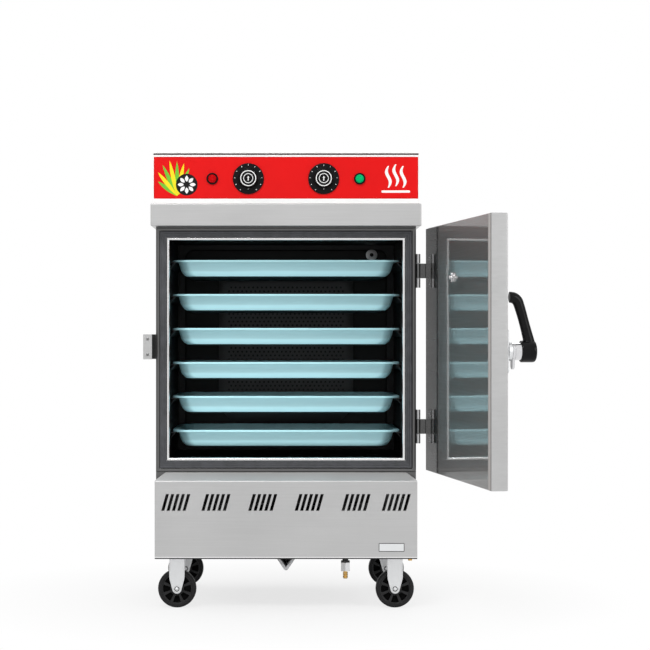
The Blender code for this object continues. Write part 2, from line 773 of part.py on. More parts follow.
def chamber_liner():
    front, rear = chamber_front, chamber_rear
    half, low, high = chamber_half, chamber_low, chamber_high

    def loop(half, low, high, y):
        return [(-half, y, low), (half, y, low), (half, y, high), (-half, y, high)]

    rim = loop(half + LINER_FLANGE, low - LINER_FLANGE, high + LINER_FLANGE, front)
    mouth = loop(half, low, high, front)
    back = loop(half, low, high, rear)
    panels = around_hole(rim, mouth)
    panels += [
        [mouth[1], mouth[2], back[2], back[1]],
        [mouth[2], mouth[3], back[3], back[2]],
        [mouth[3], mouth[0], back[0], back[3]],
        back,
    ]
    side, near, far = floor_hole_half, floor_hole_front, floor_hole_rear
    hole = [(-side, near, low), (side, near, low), (side, far, low), (-side, far, low)]
    panels += around_hole([mouth[0], mouth[1], back[1], back[0]], hole)
    folded("chamber_liner", panels, LINER_STEEL)


def wall_insulation():
    half = chamber_half + SHEET + FIT
    high = chamber_high + SHEET + FIT
    rear = chamber_rear + SHEET + FIT
    front = chamber_front + SHEET + FIT
    low = chamber_low - SHEET
    wool = box(
        "wall_insulation",
        (-half - INSULATION_SIDE, front, low),
        (half + INSULATION_SIDE, rear + INSULATION_REAR, high + INSULATION_TOP),
        WOOL,
    )
    past = 10 * SHEET
    cut(wool, box("insulation_cutter", (-half, front - past, low - past), (half, rear, high)))


def rack(name, side):
    face = rack_face
    tip = tray_half - TRAY_RIM + THIN_SHEET + LEDGE_CLEARANCE
    path = [(face, tray_tops[-1] + RACK_TOP_MARGIN)]
    for top in reversed(tray_tops):
        ledge = top - TRAY_LIP - FIT
        path += [(face, ledge), (tip, ledge), (face, ledge - RACK_RIB_DROP)]
    path.append((face, path[-1][1] - RACK_LOW_MARGIN))
    front, rear = tray_front - RACK_FRONT_OVERRUN, tray_rear + RACK_REAR_OVERRUN
    points = [(side * x, front, z) for x, z in path] + [(side * x, rear, z) for x, z in path]
    count = len(path)
    faces = []
    for n in range(count - 1):
        quad = [n, n + 1, n + 1 + count, n + count]
        faces.append(quad if side > 0 else quad[::-1])
    mesh = mesh_from(name, points, faces, outward=False)
    thicken(place(bpy.data.objects.new(name, mesh), LINER_STEEL), SHEET, side=1)


def rear_liner_panel():
    half = chamber_half - REAR_PANEL_SIDE
    low, high = chamber_low + REAR_PANEL_LOW, chamber_high - REAR_PANEL_TOP
    centre = (0, (low + high) / 2)
    height = (high - low) / 2
    rear = rear_panel_front + REAR_PANEL_DEPTH
    slope = REAR_PANEL_SLOPE
    outer = rounded_rectangle(half, height, REAR_PANEL_RADIUS, 5, centre)
    inner = rounded_rectangle(half - slope, height - slope, REAR_PANEL_RADIUS - slope, 5, centre)
    loops = [spread(outer, "Y", y) for y in (rear, rear - THIN_SHEET / 2)]
    loops.append(spread(inner, "Y", rear_panel_front))
    thicken(loft("rear_liner_panel", loops, LINER_STEEL, cap=True), THIN_SHEET)


def hexagons(centre, field_x, field_y, columns, rows, radius_share):
    """Staggered six-sided holes over a field."""
    step_x, step_y = field_x / (columns - 0.5), field_y / rows
    holes = []
    for row in range(rows):
        shift = 0.25 if row % 2 else -0.25
        for column in range(columns):
            x = centre[0] + (column - (columns - 1) / 2 + shift) * step_x
            y = centre[1] + (row - (rows - 1) / 2) * step_y
            radius = min(step_x, step_y) * radius_share
            holes.append(polygon(radius, 6, (x, y)))
    return holes


def duct_panel():
    half = chamber_half - DUCT_SIDE
    low, high = chamber_low + DUCT_LIFT, chamber_high - DUCT_DROP
    slant = DUCT_CHAMFER
    outline = [
        (-half + slant, low),
        (half - slant, low),
        (half, low + slant),
        (half, high),
        (-half, high),
        (-half, low + slant),
    ]
    front, rear = duct_front, duct_front + DUCT_DEPTH
    loops = [spread(outline, "Y", rear), spread(outline, "Y", front)]
    duct = thicken(loft("duct_panel", loops, LINER_STEEL, cap=True), THIN_SHEET)
    field_x = 2 * half * DUCT_HOLE_FIELD_SHARE
    field_z = high - low - 2 * slant
    centre = (0, (low + high) / 2)
    holes = hexagons(
        centre, field_x, field_z, DUCT_HOLE_COLUMNS, DUCT_HOLE_ROWS, DUCT_HOLE_RADIUS_SHARE
    )
    past = 3 * THIN_SHEET
    cut(duct, prisms("duct_cutter", holes, "Y", front - past, front + past))
    mouth, trim = half - slant - THIN_SHEET, low + THIN_SHEET * 1.5
    outline = [(-mouth, low - past), (mouth, low - past), (mouth, trim), (-mouth, trim)]
    cut(duct, prisms("duct_mouth_cutter", [outline], "Y", front - past, rear + past))


def steam_port():
    radius, tube_radius = PORT_DIAMETER / 2, PORT_TUBE_DIAMETER / 2
    bore = PORT_BORE_DIAMETER / 2
    profile = [
        (bore, PORT_TUBE_LENGTH),
        (tube_radius, PORT_TUBE_LENGTH),
        (tube_radius, PORT_FLANGE),
        (radius - PORT_FLANGE / 3, PORT_FLANGE),
        (radius, PORT_FLANGE * 2 / 3),
        (radius, 0),
        (bore, 0),
    ]
    at = (chamber_half * PORT_OFFSET_SHARE, rear_panel_front - FIT, chamber_high - PORT_DROP)
    lathe("steam_port", profile, LINER_STEEL, 24, ring=True, at=at, turn=TURN_TO_FRONT)


def water_tank():
    def loop(lip, z):
        x, near, far = tank_half + lip, tank_front - lip, tank_rear + lip
        return [(-x, near, z), (x, near, z), (x, far, z), (-x, far, z)]

    loops = [loop(TANK_FLANGE, tank_high), loop(0, tank_high), loop(0, tank_low + SHEET)]
    thicken(loft("water_tank", loops, LINER_STEEL, cap=True), SHEET)


def heating_element(name, side):
    x = side * tank_half * ELEMENT_OFFSET_SHARE
    z = tank_low + SHEET + ELEMENT_LIFT
    start = tank_rear - FIT
    turn = start - (tank_rear - tank_front) * ELEMENT_REACH_SHARE + ELEMENT_BEND
    path = [(x - ELEMENT_BEND, start, z)]
    for n in range(9):
        angle = math.radians(180 + 22.5 * n)
        arc = (x + ELEMENT_BEND * math.cos(angle), turn + ELEMENT_BEND * math.sin(angle), z)
        path.append(arc)
    path.append((x + ELEMENT_BEND, start, z))
    tube(name, path, ELEMENT_DIAMETER / 2, ZINC, 1)


def steam_plate():
    low = chamber_low + FIT
    wide = floor_hole_half + STEAM_PLATE_OVERLAP
    near, far = floor_hole_front - STEAM_PLATE_OVERLAP, floor_hole_rear + STEAM_PLATE_OVERLAP
    high = low + STEAM_PLATE_THICKNESS
    plate = box("steam_plate", (-wide, near, low), (wide, far, high), LINER_STEEL)
    holes = hexagons(
        (0, (near + far) / 2),
        2 * floor_hole_half - STEAM_PLATE_OVERLAP,
        floor_hole_rear - floor_hole_front - STEAM_PLATE_OVERLAP,
        STEAM_HOLE_COLUMNS,
        STEAM_HOLE_ROWS,
        STEAM_HOLE_RADIUS_SHARE,
    )
    past = STEAM_PLATE_THICKNESS
    cut(plate, prisms("steam_cutter", holes, "Z", low - past, high + past))


def gas_burner():
    high = tank_low - BURNER_CLEARANCE
    low = high - BURNER_RING_HEIGHT
    outer = BURNER_DIAMETER / 2
    inner = outer - BURNER_RING_WIDTH
    chamfer = BURNER_RING_HEIGHT / 4
    foot = floor_high + FIT
    profile = [
        (inner, high),
        (outer - chamfer, high),
        (outer, high - chamfer),
        (outer, low),
        (inner, low),
    ]
    ring = lathe("gas_burner", profile, IRON, 32, ring=True)
    middle = (outer + inner) / 2
    legs = [
        polygon(BURNER_LEG_DIAMETER / 2, 8, (middle * math.cos(a), middle * math.sin(a)))
        for a in (math.radians(45 + 90 * n) for n in range(4))
    ]
    deep = low + BURNER_RING_HEIGHT / 3
    legs = prisms("burner_leg_joiner", legs, "Z", foot, deep)
    run = low + BURNER_RING_HEIGHT / 2
    bend = BURNER_TUBE_DIAMETER
    path = [
        (gas_x, gas_y, foot),
        (gas_x, gas_y, run - bend),
        (gas_x - bend * 0.13, gas_y + bend * 0.26, run - bend * 0.29),
        (gas_x - bend * 0.45, gas_y + bend * 0.9, run),
    ]
    reach = Vector((path[-1][0], path[-1][1]))
    end = reach * (middle / reach.length)
    path.append((end.x, end.y, run))
    join(ring, legs, tube("burner_tube_joiner", path, BURNER_TUBE_DIAMETER / 2, None, 1))


def drain_gutter():
    top = floor_low - FIT
    low = top - GUTTER_DROP
    half = GUTTER_WIDTH / 2
    radius = GUTTER_APEX_RADIUS
    outer = [(-half, top)]
    for n in range(5):
        angle = math.radians(217.5 + 26.25 * n)
        outer.append((radius * math.cos(angle), low + radius + radius * math.sin(angle)))
    outer.append((half, top))
    lift = GUTTER_WALL * 1.27
    inner = [(-half + lift, top + lift), (-half + lift, top), (0, low + GUTTER_WALL * 1.3)]
    inner += [(half - lift, top), (half - lift, top + lift)]
    front = base_front + GUTTER_INSET
    rear = front + GUTTER_LENGTH
    gutter = prisms("drain_gutter", [outer], "Y", front, rear, GUTTER_PLASTIC)
    past = GUTTER_WALL
    cut(gutter, prisms("gutter_cutter", [inner], "Y", front - past, rear - GUTTER_WALL))


def gas_inlet():
    top = floor_low - FIT
    neck, collar, stem = GAS_NECK_DIAMETER / 2, GAS_COLLAR_DIAMETER / 2, GAS_STEM_DIAMETER / 2
    bore = GAS_BORE_DIAMETER / 2
    collar_high = -GAS_NECK_LENGTH
    collar_low = collar_high - GAS_COLLAR_LENGTH
    end = collar_low - GAS_STEM_LENGTH
    profile = [(bore, 0), (neck, 0), (neck, collar_high), (collar, collar_high)]
    profile += [(collar, collar_low), (stem, collar_low)]
    first = collar_low - FIT - GAS_NUT_LENGTH - GAS_BARB_PITCH * 0.6
    for n in range(3):
        z = first - n * GAS_BARB_PITCH
        profile += [(stem, z), (stem + GAS_BARB_STEP, z), (stem, z - GAS_BARB_PITCH * 0.75)]
    profile += [(stem - GAS_BARB_STEP, end), (bore, end)]
    at = (gas_x, gas_y, top)
    lathe("gas_inlet_barb", profile, BRASS, 14, ring=True, at=at)
    nut_high = top + collar_low - FIT
    nut_low = nut_high - GAS_NUT_LENGTH
    outline = polygon(GAS_NUT_ACROSS / 2, 6)
    nut = prisms("gas_inlet_nut", [outline], "Z", nut_low, nut_high, ZINC, at=(gas_x, gas_y, 0))
    past = GAS_NUT_LENGTH / 4
    hole = (nut_low - past, nut_high + past)
    at = (gas_x, gas_y, 0)
    cut(nut, round_cutter("gas_nut_cutter", at, stem + FIT, *hole, turn=(0, 0, 0), sides=20))


def water_inlet():
    radius, bore = WATER_DIAMETER / 2, WATER_BORE_DIAMETER / 2
    profile = [(bore, 0), (radius, 0), (radius, -WATER_LENGTH), (bore, -WATER_LENGTH)]
    at = (base_half * WATER_OFFSET_SHARE, base_front + WATER_INSET, floor_low - FIT)
    lathe("water_inlet", profile, BRASS, 16, ring=True, at=at)


def canopy():
    half = canopy_half
    front, rear = base_front, base_rear
    low, top = canopy_low, canopy_top
    inner, body = body_half + FIT, body_front - FIT
    deck = [(-half, front, top), (half, front, top), (half, rear, top), (-half, rear, top)]
    hem = [(x, y, low) for x, y, _ in deck]
    reveal = [(-inner, rear, low), (-inner, body, low), (inner, body, low), (inner, rear, low)]
    panels = [
        deck,
        [deck[0], deck[1], hem[1], hem[0]],
        [deck[1], deck[2], hem[2], hem[1]],
        [deck[3], deck[0], hem[0], hem[3]],
        [hem[0], hem[1], reveal[2], reveal[1]],
        [hem[1], hem[2], reveal[3], reveal[2]],
        [hem[3], hem[0], reveal[1], reveal[0]],
    ]
    folded("canopy", panels, STEEL)


def control_box():
    half, low, high = control_half, control_low, control_high
    front, rear = control_front, control_rear

    def loop(y, side, end):
        x = half - side
        return [(-x, y, low + end), (x, y, low + end), (x, y, high - end), (-x, y, high - end)]

    face = loop(front, 0, 0)
    back = loop(rear, 0, 0)
    panels = around_hole(face, loop(front, CONTROL_OPENING_SIDE, CONTROL_OPENING_END))
    panels += [
        [face[1], face[2], back[2], back[1]],
        [face[2], face[3], back[3], back[2]],
        [face[3], face[0], back[0], back[3]],
        back,
    ]
    folded("control_box", panels, STEEL)


def control_panel():
    near, far = panel_front, panel_front + CONTROL_PANEL_THICKNESS
    low, high = (-control_half, near, control_low), (control_half, far, control_high)
    panel = box("control_panel", low, high, RED_PANEL)
    past = 2 * CONTROL_PANEL_THICKNESS
    for n, x in enumerate((-knob_x, knob_x)):
        at = (x, near, knob_z)
        radius = SPINDLE_HOLE_DIAMETER / 2
        cut(panel, round_cutter(f"spindle_cutter_{n}", at, radius, -past, past))


def control_body(name, side):
    """A switch body behind the panel, with its spindle standing out in front."""
    at = (side * knob_x, panel_front, knob_z)
    start = -CONTROL_PANEL_THICKNESS - FIT
    half = CONTROL_BODY_WIDTH / 2
    reach = FIT + KNOB_BORE_DEPTH - FIT
    outline = rounded_rectangle(half, half, half / 5, 3)
    body = prisms(
        name, [outline], "Z", start - CONTROL_BODY_DEPTH, start, ZINC, at=at, turn=TURN_TO_FRONT
    )
    spindle = polygon(SPINDLE_DIAMETER / 2, 12)
    root = start - SHEET
    joiner = name + "_spindle_joiner"
    join(body, prisms(joiner, [spindle], "Z", root, reach, at=at, turn=TURN_TO_FRONT))


def knob(name, side):
    skirt, cap, top = KNOB_DIAMETER / 2, KNOB_CAP_DIAMETER / 2, KNOB_TOP_DIAMETER / 2
    dish, bore = KNOB_DISH_DIAMETER / 2, SPINDLE_DIAMETER / 2 + FIT
    start = FIT
    face = start + KNOB_LENGTH
    step = start + KNOB_SKIRT
    round_off = KNOB_SKIRT / 3
    profile = [
        (0, face - KNOB_DISH_DEPTH),
        (dish, face - KNOB_DISH_DEPTH),
        (dish + KNOB_DISH_DEPTH / 2, face),
        (top - round_off, face),
        (top, face - round_off),
        (cap - round_off, step + round_off * 2),
        (cap, step + round_off),
        (cap, step),
        (skirt - round_off, step),
        (skirt, step - round_off),
        (skirt, start),
        (bore, start),
        (bore, start + KNOB_BORE_DEPTH),
        (0, start + KNOB_BORE_DEPTH),
    ]
    at = (side * knob_x, panel_front, knob_z)
    where = {"at": at, "turn": TURN_TO_FRONT}
    lathe(name, profile, BLACK_PLASTIC, 26, **where)


def lamp(name, side, lens_material):
    at = (side * lamp_x, panel_front, knob_z)
    where = {"at": at, "turn": TURN_TO_FRONT}
    outer, inner = LAMP_DIAMETER / 2, LAMP_LENS_DIAMETER / 2
    proud = FIT + LAMP_PROUD
    ring = [
        (inner + FIT, proud),
        (outer - LAMP_PROUD / 3, proud),
        (outer, proud * 2 / 3),
        (outer, FIT),
        (inner + FIT, FIT),
    ]
    lathe(name + "_bezel", ring, BLACK_PLASTIC, 24, ring=True, **where)
    dome = LAMP_DOME
    lens = [
        (0, proud + dome),
        (inner * 0.5, proud + dome * 0.85),
        (inner * 0.85, proud + dome * 0.4),
        (inner, proud - dome * 0.3),
        (inner, FIT),
        (0, FIT),
    ]
    lathe(name + "_lens", lens, lens_material, 20, **where)


def hinge_frame_leaf(name, middle):
    radius, pin = HINGE_DIAMETER / 2, HINGE_PIN_DIAMETER / 2
    half, inner = HINGE_HEIGHT / 2, HINGE_MIDDLE / 2 + HINGE_KNUCKLE_GAP
    profile = [
        (0, half),
        (radius, half),
        (radius, inner),
        (pin, inner),
        (pin, -inner),
        (radius, -inner),
        (radius, -half),
        (0, -half),
    ]
    at = (hinge_x, hinge_y, middle)
    barrel = lathe(name, profile, STEEL, 16, at=at)
    near = body_half + FIT - hinge_x
    clear = radius + HINGE_KNUCKLE_GAP
    end = HINGE_FRAME_LEAF_LENGTH
    outline = [(0, -half), (end, -half), (end, half), (0, half)]
    outline += [(0, inner), (clear, inner), (clear, -inner), (0, -inner)]
    leaf = prisms(name + "_joiner", [outline], "X", near, near + HINGE_LEAF, at=at)
    join(barrel, leaf)


def hinge_door_leaf(name, middle):
    radius, bore = HINGE_DIAMETER / 2, HINGE_PIN_DIAMETER / 2 + FIT
    half = HINGE_MIDDLE / 2
    profile = [(bore, half), (radius, half), (radius, -half), (bore, -half)]
    at = (0, 0, middle)
    knuckle = lathe(name, profile, STEEL, 16, ring=True, at=at, parent=DOOR)
    near = -HINGE_LEAF_OFFSET - HINGE_LEAF
    start = -(radius + bore) / 2 + FIT
    corners = ((near, -HINGE_DOOR_LEAF_LENGTH, -half), (-HINGE_LEAF_OFFSET, start, half))
    join(knuckle, box(name + "_joiner", *corners, at=at, parent=DOOR))


def strike_bracket():
    thick = STRIKE_PLATE
    side = -body_half - FIT
    outer_side = side - thick
    web = hinge_x + handle_a - TONGUE_LENGTH - STRIKE_SIDE_CLEARANCE
    back = hinge_y + door_outer - tongue_end - STRIKE_CLEARANCE
    tip = hinge_x + door_free - STRIKE_EDGE_CLEARANCE
    face = body_front
    outline = [
        (side, face),
        (side, face + STRIKE_FLANGE),
        (outer_side, face + STRIKE_FLANGE),
        (outer_side, face + thick),
        (web - thick, face + thick),
        (web - thick, back - thick),
        (tip, back - thick),
        (tip, back),
        (web, back),
        (web, face),
    ]
    low = handle_z + STRIKE_RISE - STRIKE_HEIGHT / 2
    high = low + STRIKE_HEIGHT
    bracket = prisms("strike_bracket", [outline], "Z", low, high, STEEL)
    radius = STRIKE_SCREW_DIAMETER / 2
    centre = (web - thick + tip) / 2
    screws = [polygon(radius, 10, (centre, z)) for z in (low + 3 * radius, high - 3 * radius)]
    near, far = back - thick - STRIKE_SCREW_RISE, back - thick / 2
    join(bracket, prisms("strike_screw_joiner", screws, "Y", near, far))


def caster(name, x, y):
    plate_low, plate_high = caster_plate_low, caster_plate_low + CASTER_PLATE_THICKNESS
    wide, deep = CASTER_PLATE_WIDTH / 2, CASTER_PLATE_DEPTH / 2
    corners = ((-wide, -deep, plate_low), (wide, deep, plate_high))
    where = {"at": (x, y, 0)}
    fork = box("caster_fork_" + name, *corners, ZINC, **where)
    half, eye = CASTER_LEG_WIDTH / 2, CASTER_EYE_RADIUS
    knee = plate_low - CASTER_LEG_STRAIGHT
    gap = math.hypot(half, knee - axle_z)
    touch = math.atan2(knee - axle_z, half) - math.acos(eye / gap)
    outline = [(half, plate_low + CASTER_PLATE_THICKNESS / 2), (half, knee)]
    for n in range(7):
        angle = touch + (-math.pi - 2 * touch) * n / 6
        outline.append((eye * math.cos(angle), axle_z + eye * math.sin(angle)))
    outline += [(-half, knee), (-half, plate_low + CASTER_PLATE_THICKNESS / 2)]
    inner = WHEEL_WIDTH / 2 + WHEEL_HUB_STEP + FIT
    outer = inner + CASTER_LEG_THICKNESS
    near = prisms(f"caster_near_joiner_{name}", [outline], "Y", -outer, -inner, **where)
    far = prisms(f"caster_far_joiner_{name}", [outline], "Y", inner, outer, **where)
    nut_x, nut_y = wide - CASTER_NUT_INSET, deep - CASTER_NUT_INSET
    nuts = [
        polygon(CASTER_NUT_RADIUS, 6, (sx * nut_x, sy * nut_y))
        for sx in (-1, 1)
        for sy in (-1, 1)
    ]
    low, high = plate_low - CASTER_NUT_DROP, plate_low + CASTER_PLATE_THICKNESS / 2
    nuts = prisms(f"caster_nut_joiner_{name}", nuts, "Z", low, high, **where)
    shaft, head = AXLE_DIAMETER / 2, AXLE_HEAD_DIAMETER / 2
    end = outer + AXLE_HEAD_LENGTH
    step = outer - CASTER_LEG_THICKNESS / 4
    profile = [
        (0, end),
        (head, end),
        (head, step),
        (shaft, step),
        (shaft, -step),
        (head, -step),
        (head, -end),
        (0, -end),
    ]
    at = (x, y, axle_z)
    axle = lathe(f"axle_joiner_{name}", profile, None, 16, at=at, turn=TURN_TO_FRONT)
    join(fork, near, far, nuts, axle)


def wheel(name, x, y):
    radius, half = WHEEL_DIAMETER / 2, WHEEL_WIDTH / 2
    hub, bore = WHEEL_HUB_DIAMETER / 2, AXLE_DIAMETER / 2 + FIT
    hub_end = half + WHEEL_HUB_STEP
    edge = WHEEL_SHOULDER
    profile = [
        (bore, hub_end),
        (hub, hub_end),
        (hub, half),
        (radius - edge, half),
        (radius, half - edge),
        (radius, -half + edge),
        (radius - edge, -half),
        (hub, -half),
        (hub, -hub_end),
        (bore, -hub_end),
    ]
    where = {"at": (x, y, axle_z), "turn": TURN_TO_FRONT}
    tyre = lathe("wheel_" + name, profile, WHEEL_RUBBER, 24, ring=True, **where)
    inner, outer = radius * WHEEL_POCKET_INNER_SHARE, radius * WHEEL_POCKET_OUTER_SHARE
    wedges = []
    for n in range(WHEEL_POCKETS):
        middle = math.tau * (n + 0.25) / WHEEL_POCKETS
        spots = ((inner, -0.3), (outer, -0.46), (outer, 0), (outer, 0.46), (inner, 0.3))
        wedge = []
        for r, turn in spots:
            angle = middle + turn
            wedge.append((r * math.cos(angle), r * math.sin(angle)))
        wedges.append(wedge)
    deep = half - WHEEL_WIDTH * WHEEL_POCKET_DEPTH_SHARE
    past = half + WHEEL_HUB_STEP
    near = prisms(f"wheel_near_cutter_{name}", wedges, "Z", deep, past, **where)
    far = prisms(f"wheel_far_cutter_{name}", wedges, "Z", -past, -deep, **where)
    cut(tyre, near, far)


def door_loop(inset, b):
    left, right = door_free + inset, door_edge - inset
    low, high = door_low + inset, door_high - inset
    return [(right, b, low), (left, b, low), (left, b, high), (right, b, high)]


def door():
    corner = DOOR_CORNER
    loops = [
        door_loop(DOOR_RETURN, pan_inner),
        door_loop(0, pan_inner),
        door_loop(0, door_outer + corner),
        door_loop(corner * 0.3, door_outer + corner * 0.3),
        door_loop(corner, door_outer),
    ]
    loops = [loop[::-1] for loop in loops]
    pan = loft("door_outer_pan", loops, STEEL, cap=True, parent=DOOR)
    thicken(pan, SHEET)
    loops = [
        door_loop(DOOR_INNER_INSET, pan_inner + FIT),
        door_loop(DOOR_INNER_INSET, door_inner - corner / 2),
        door_loop(DOOR_INNER_INSET + corner / 2, door_inner),
    ]
    inner = loft("door_inner_panel", loops, MIRROR_STEEL, cap=True, parent=DOOR)
    thicken(inner, THIN_SHEET)
    gap = SHEET + FIT
    wool = box(
        "door_insulation",
        (door_free + gap, door_outer + gap, door_low + gap),
        (door_edge - gap, pan_inner - gap, door_high - gap),
        WOOL,
        parent=DOOR,
    )
    bevel(wool, corner, 1)
    at = (valve_a, door_outer, valve_z)
    radius = VALVE_STEM_DIAMETER / 2 + FIT
    past = 2 * DOOR_THICKNESS
    hole = round_cutter("valve_cutter", at, radius, -past, past, parent=DOOR)
    for piece in (pan, inner, wool):
        cut(piece, hole)


def relief_valve():
    stem, flange, nut = VALVE_STEM_DIAMETER / 2, VALVE_FLANGE_DIAMETER / 2, VALVE_NUT_DIAMETER / 2
    outer = FIT
    inner = -DOOR_THICKNESS - FIT
    cap = outer + VALVE_CAP_DEPTH
    seat = inner - VALVE_FLANGE_DEPTH
    end = seat - VALVE_NUT_DEPTH
    profile = [
        (0, cap),
        (flange * 0.8, cap),
        (flange, cap - VALVE_CAP_DEPTH / 3),
        (flange, outer),
        (stem, outer),
        (stem, inner),
        (flange, inner),
        (flange, seat),
        (nut, seat),
        (nut, seat - VALVE_NUT_DEPTH * 0.55),
        (nut * 0.6, end),
        (0, end),
    ]
    at = (valve_a, door_outer, valve_z)
    lathe("relief_valve", profile, CHROME, 16, at=at, turn=TURN_TO_FRONT, parent=DOOR)


def handle():
    half, tall = HANDLE_BASE_WIDTH / 2, HANDLE_BASE_HEIGHT / 2
    corner = HANDLE_BASE_BEVEL
    where = {"parent": HANDLE}
    outline = rounded_rectangle(half, tall, corner * 1.5, 4)
    top = FIT + HANDLE_BASE_DEPTH
    base = prisms("handle_base", [outline], "Z", FIT, top, CHROME, **where)
    bevel(base, corner / 2, 2, 60)
    boss = BOSS_DIAMETER / 2
    end = boss_start + BOSS_LENGTH
    small = BOSS_LENGTH / 20
    profile = [(0, end), (boss - small, end), (boss, end - small), (boss, boss_start)]
    profile.append((0, boss_start))
    cam = lathe("latch_cam", profile, CHROME, 28, **where)
    wide, tip = TONGUE_WIDTH / 2, -TONGUE_LENGTH
    outline = [(-wide, 0), (-wide, tip + wide / 2), (-wide / 2, tip), (wide / 2, tip)]
    outline += [(wide, tip + wide / 2), (wide, 0)]
    join(cam, prisms("tongue_joiner", [outline], "Z", tongue_start, tongue_end, **where))
    hub, hole = HUB_DIAMETER / 2, boss + FIT
    soft = HUB_DIAMETER / 16
    profile = [
        (0, HUB_END),
        (hub - soft, HUB_END),
        (hub, HUB_END - soft),
        (hub, HUB_START),
        (hole, HUB_START),
        (hole, end + FIT),
        (0, end + FIT),
    ]
    lever = lathe("handle_lever", profile, BLACK_PLASTIC, 28, **where)
    rise = LEVER_TOP - LEVER_DIAMETER / 2
    lean = math.atan2(LEVER_SHOULDER - LEVER_KNEE, LEVER_KNEE_HEIGHT - LEVER_SHOULDER_HEIGHT)
    bend = LEVER_BEND
    end_p = LEVER_END + LEVER_DIAMETER / 10
    path = [(LEVER_ROOT, 0), (LEVER_SHOULDER, LEVER_SHOULDER_HEIGHT)]
    path.append((LEVER_KNEE, LEVER_KNEE_HEIGHT))
    for n in range(7):
        angle = lean + (math.pi / 2 - lean) * n / 6
        path.append((end_p + bend * math.cos(angle), rise - bend + bend * math.sin(angle)))
    path.append((LEVER_END, rise))
    points = [(0, height, projection) for projection, height in path]
    join(lever, tube("lever_joiner", points, LEVER_DIAMETER / 2, None, 4, **where))


def tray(number, top):
    middle = (tray_front + tray_rear) / 2
    half_x, half_y = tray_half, (tray_rear - tray_front) / 2
    sheet = THIN_SHEET
    foot = TRAY_HEIGHT - sheet
    steps = [
        (0, -TRAY_LIP),
        (0, 0),
        (TRAY_RIM, 0),
        (TRAY_RIM + TRAY_TAPER, -foot + TRAY_TOE_HEIGHT),
        (TRAY_RIM + TRAY_TAPER + TRAY_TOE, -foot),
    ]
    loops = []
    for inset, z in steps:
        radius = TRAY_RADIUS + TRAY_RIM - inset * 0.6
        ring = rounded_rectangle(half_x - inset, half_y - inset, radius, TRAY_ARC_POINTS)
        loops.append(spread(ring, "Z", z))
    name = f"tray_{number}"
    shell = loft(name, loops, TRAY_STEEL, cap=True, smooth=True, at=(0, middle, top))
    thicken(shell, sheet)


def main():
    base_skirt()
    floor_and_cover()
    rating_plate()
    outer_shell()
    door_frame()
    door_seal()
    chamber_liner()
    wall_insulation()
    rack("rack_left", -1)
    rack("rack_right", 1)
    rear_liner_panel()
    duct_panel()
    steam_port()
    water_tank()
    heating_element("heating_element_left", -1)
    heating_element("heating_element_right", 1)
    steam_plate()
    gas_burner()
    drain_gutter()
    gas_inlet()
    water_inlet()
    canopy()
    control_box()
    control_panel()
    control_body("timer_body", -1)
    control_body("thermostat_body", 1)
    knob("timer_knob", -1)
    knob("thermostat_knob", 1)
    lamp("lamp_red", -1, RED_LENS)
    lamp("lamp_green", 1, GREEN_LENS)
    strike_bracket()
    for name, middle in zip(("upper", "lower"), hinge_zs):
        hinge_frame_leaf(f"hinge_{name}_frame_leaf", middle)
        hinge_door_leaf(f"hinge_{name}_door_leaf", middle)
    corners = (
        ("fl", -caster_x, caster_front),
        ("fr", caster_x, caster_front),
        ("rl", -caster_x, caster_rear),
        ("rr", caster_x, caster_rear),
    )
    for name, x, y in corners:
        caster(name, x, y)
        wheel(name, x, y)
    door()
    relief_valve()
    handle()
    for number, top in enumerate(reversed(tray_tops), 1):
        tray(number, top)


main()
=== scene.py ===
"""Finished look of the steaming cabinet: its sheet metal, trays, door, controls and casters.

Run as a script. It is laid out as an add-on: the sizes and colours that a user may change are
properties, and each piece or group of like pieces is an operator of its own. Pieces are modelled
in millimetres, which the modelling functions turn into metres.
"""
import math
from collections import namedtuple

import bmesh
import bpy
from mathutils import Matrix, Vector


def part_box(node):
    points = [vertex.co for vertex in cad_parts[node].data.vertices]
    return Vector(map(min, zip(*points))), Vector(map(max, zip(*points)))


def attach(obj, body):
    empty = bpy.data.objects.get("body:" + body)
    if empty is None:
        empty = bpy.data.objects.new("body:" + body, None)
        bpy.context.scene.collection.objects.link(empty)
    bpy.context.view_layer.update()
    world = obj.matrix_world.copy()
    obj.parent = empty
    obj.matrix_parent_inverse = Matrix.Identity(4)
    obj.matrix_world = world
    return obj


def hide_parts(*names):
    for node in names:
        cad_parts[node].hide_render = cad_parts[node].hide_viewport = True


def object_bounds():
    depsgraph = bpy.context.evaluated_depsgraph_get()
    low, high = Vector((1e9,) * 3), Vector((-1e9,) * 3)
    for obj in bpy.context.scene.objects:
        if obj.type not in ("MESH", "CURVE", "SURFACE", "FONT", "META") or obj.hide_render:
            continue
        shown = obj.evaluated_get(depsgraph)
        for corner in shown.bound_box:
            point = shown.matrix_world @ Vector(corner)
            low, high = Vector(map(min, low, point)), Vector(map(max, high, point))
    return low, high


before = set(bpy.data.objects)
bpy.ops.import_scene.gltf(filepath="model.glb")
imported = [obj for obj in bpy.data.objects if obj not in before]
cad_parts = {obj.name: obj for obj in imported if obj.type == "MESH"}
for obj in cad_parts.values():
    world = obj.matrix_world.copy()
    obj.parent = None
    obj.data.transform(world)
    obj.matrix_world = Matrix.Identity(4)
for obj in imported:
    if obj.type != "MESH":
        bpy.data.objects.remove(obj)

bl_info = {
    "name": "Steaming cabinet",
    "version": (1, 0, 0),
    "blender": (4, 5, 0),
    "location": "3D View > Sidebar > Steamer",
    "description": "Builds the finished pieces of a six-tray steaming cabinet over its solids",
    "category": "Object",
}

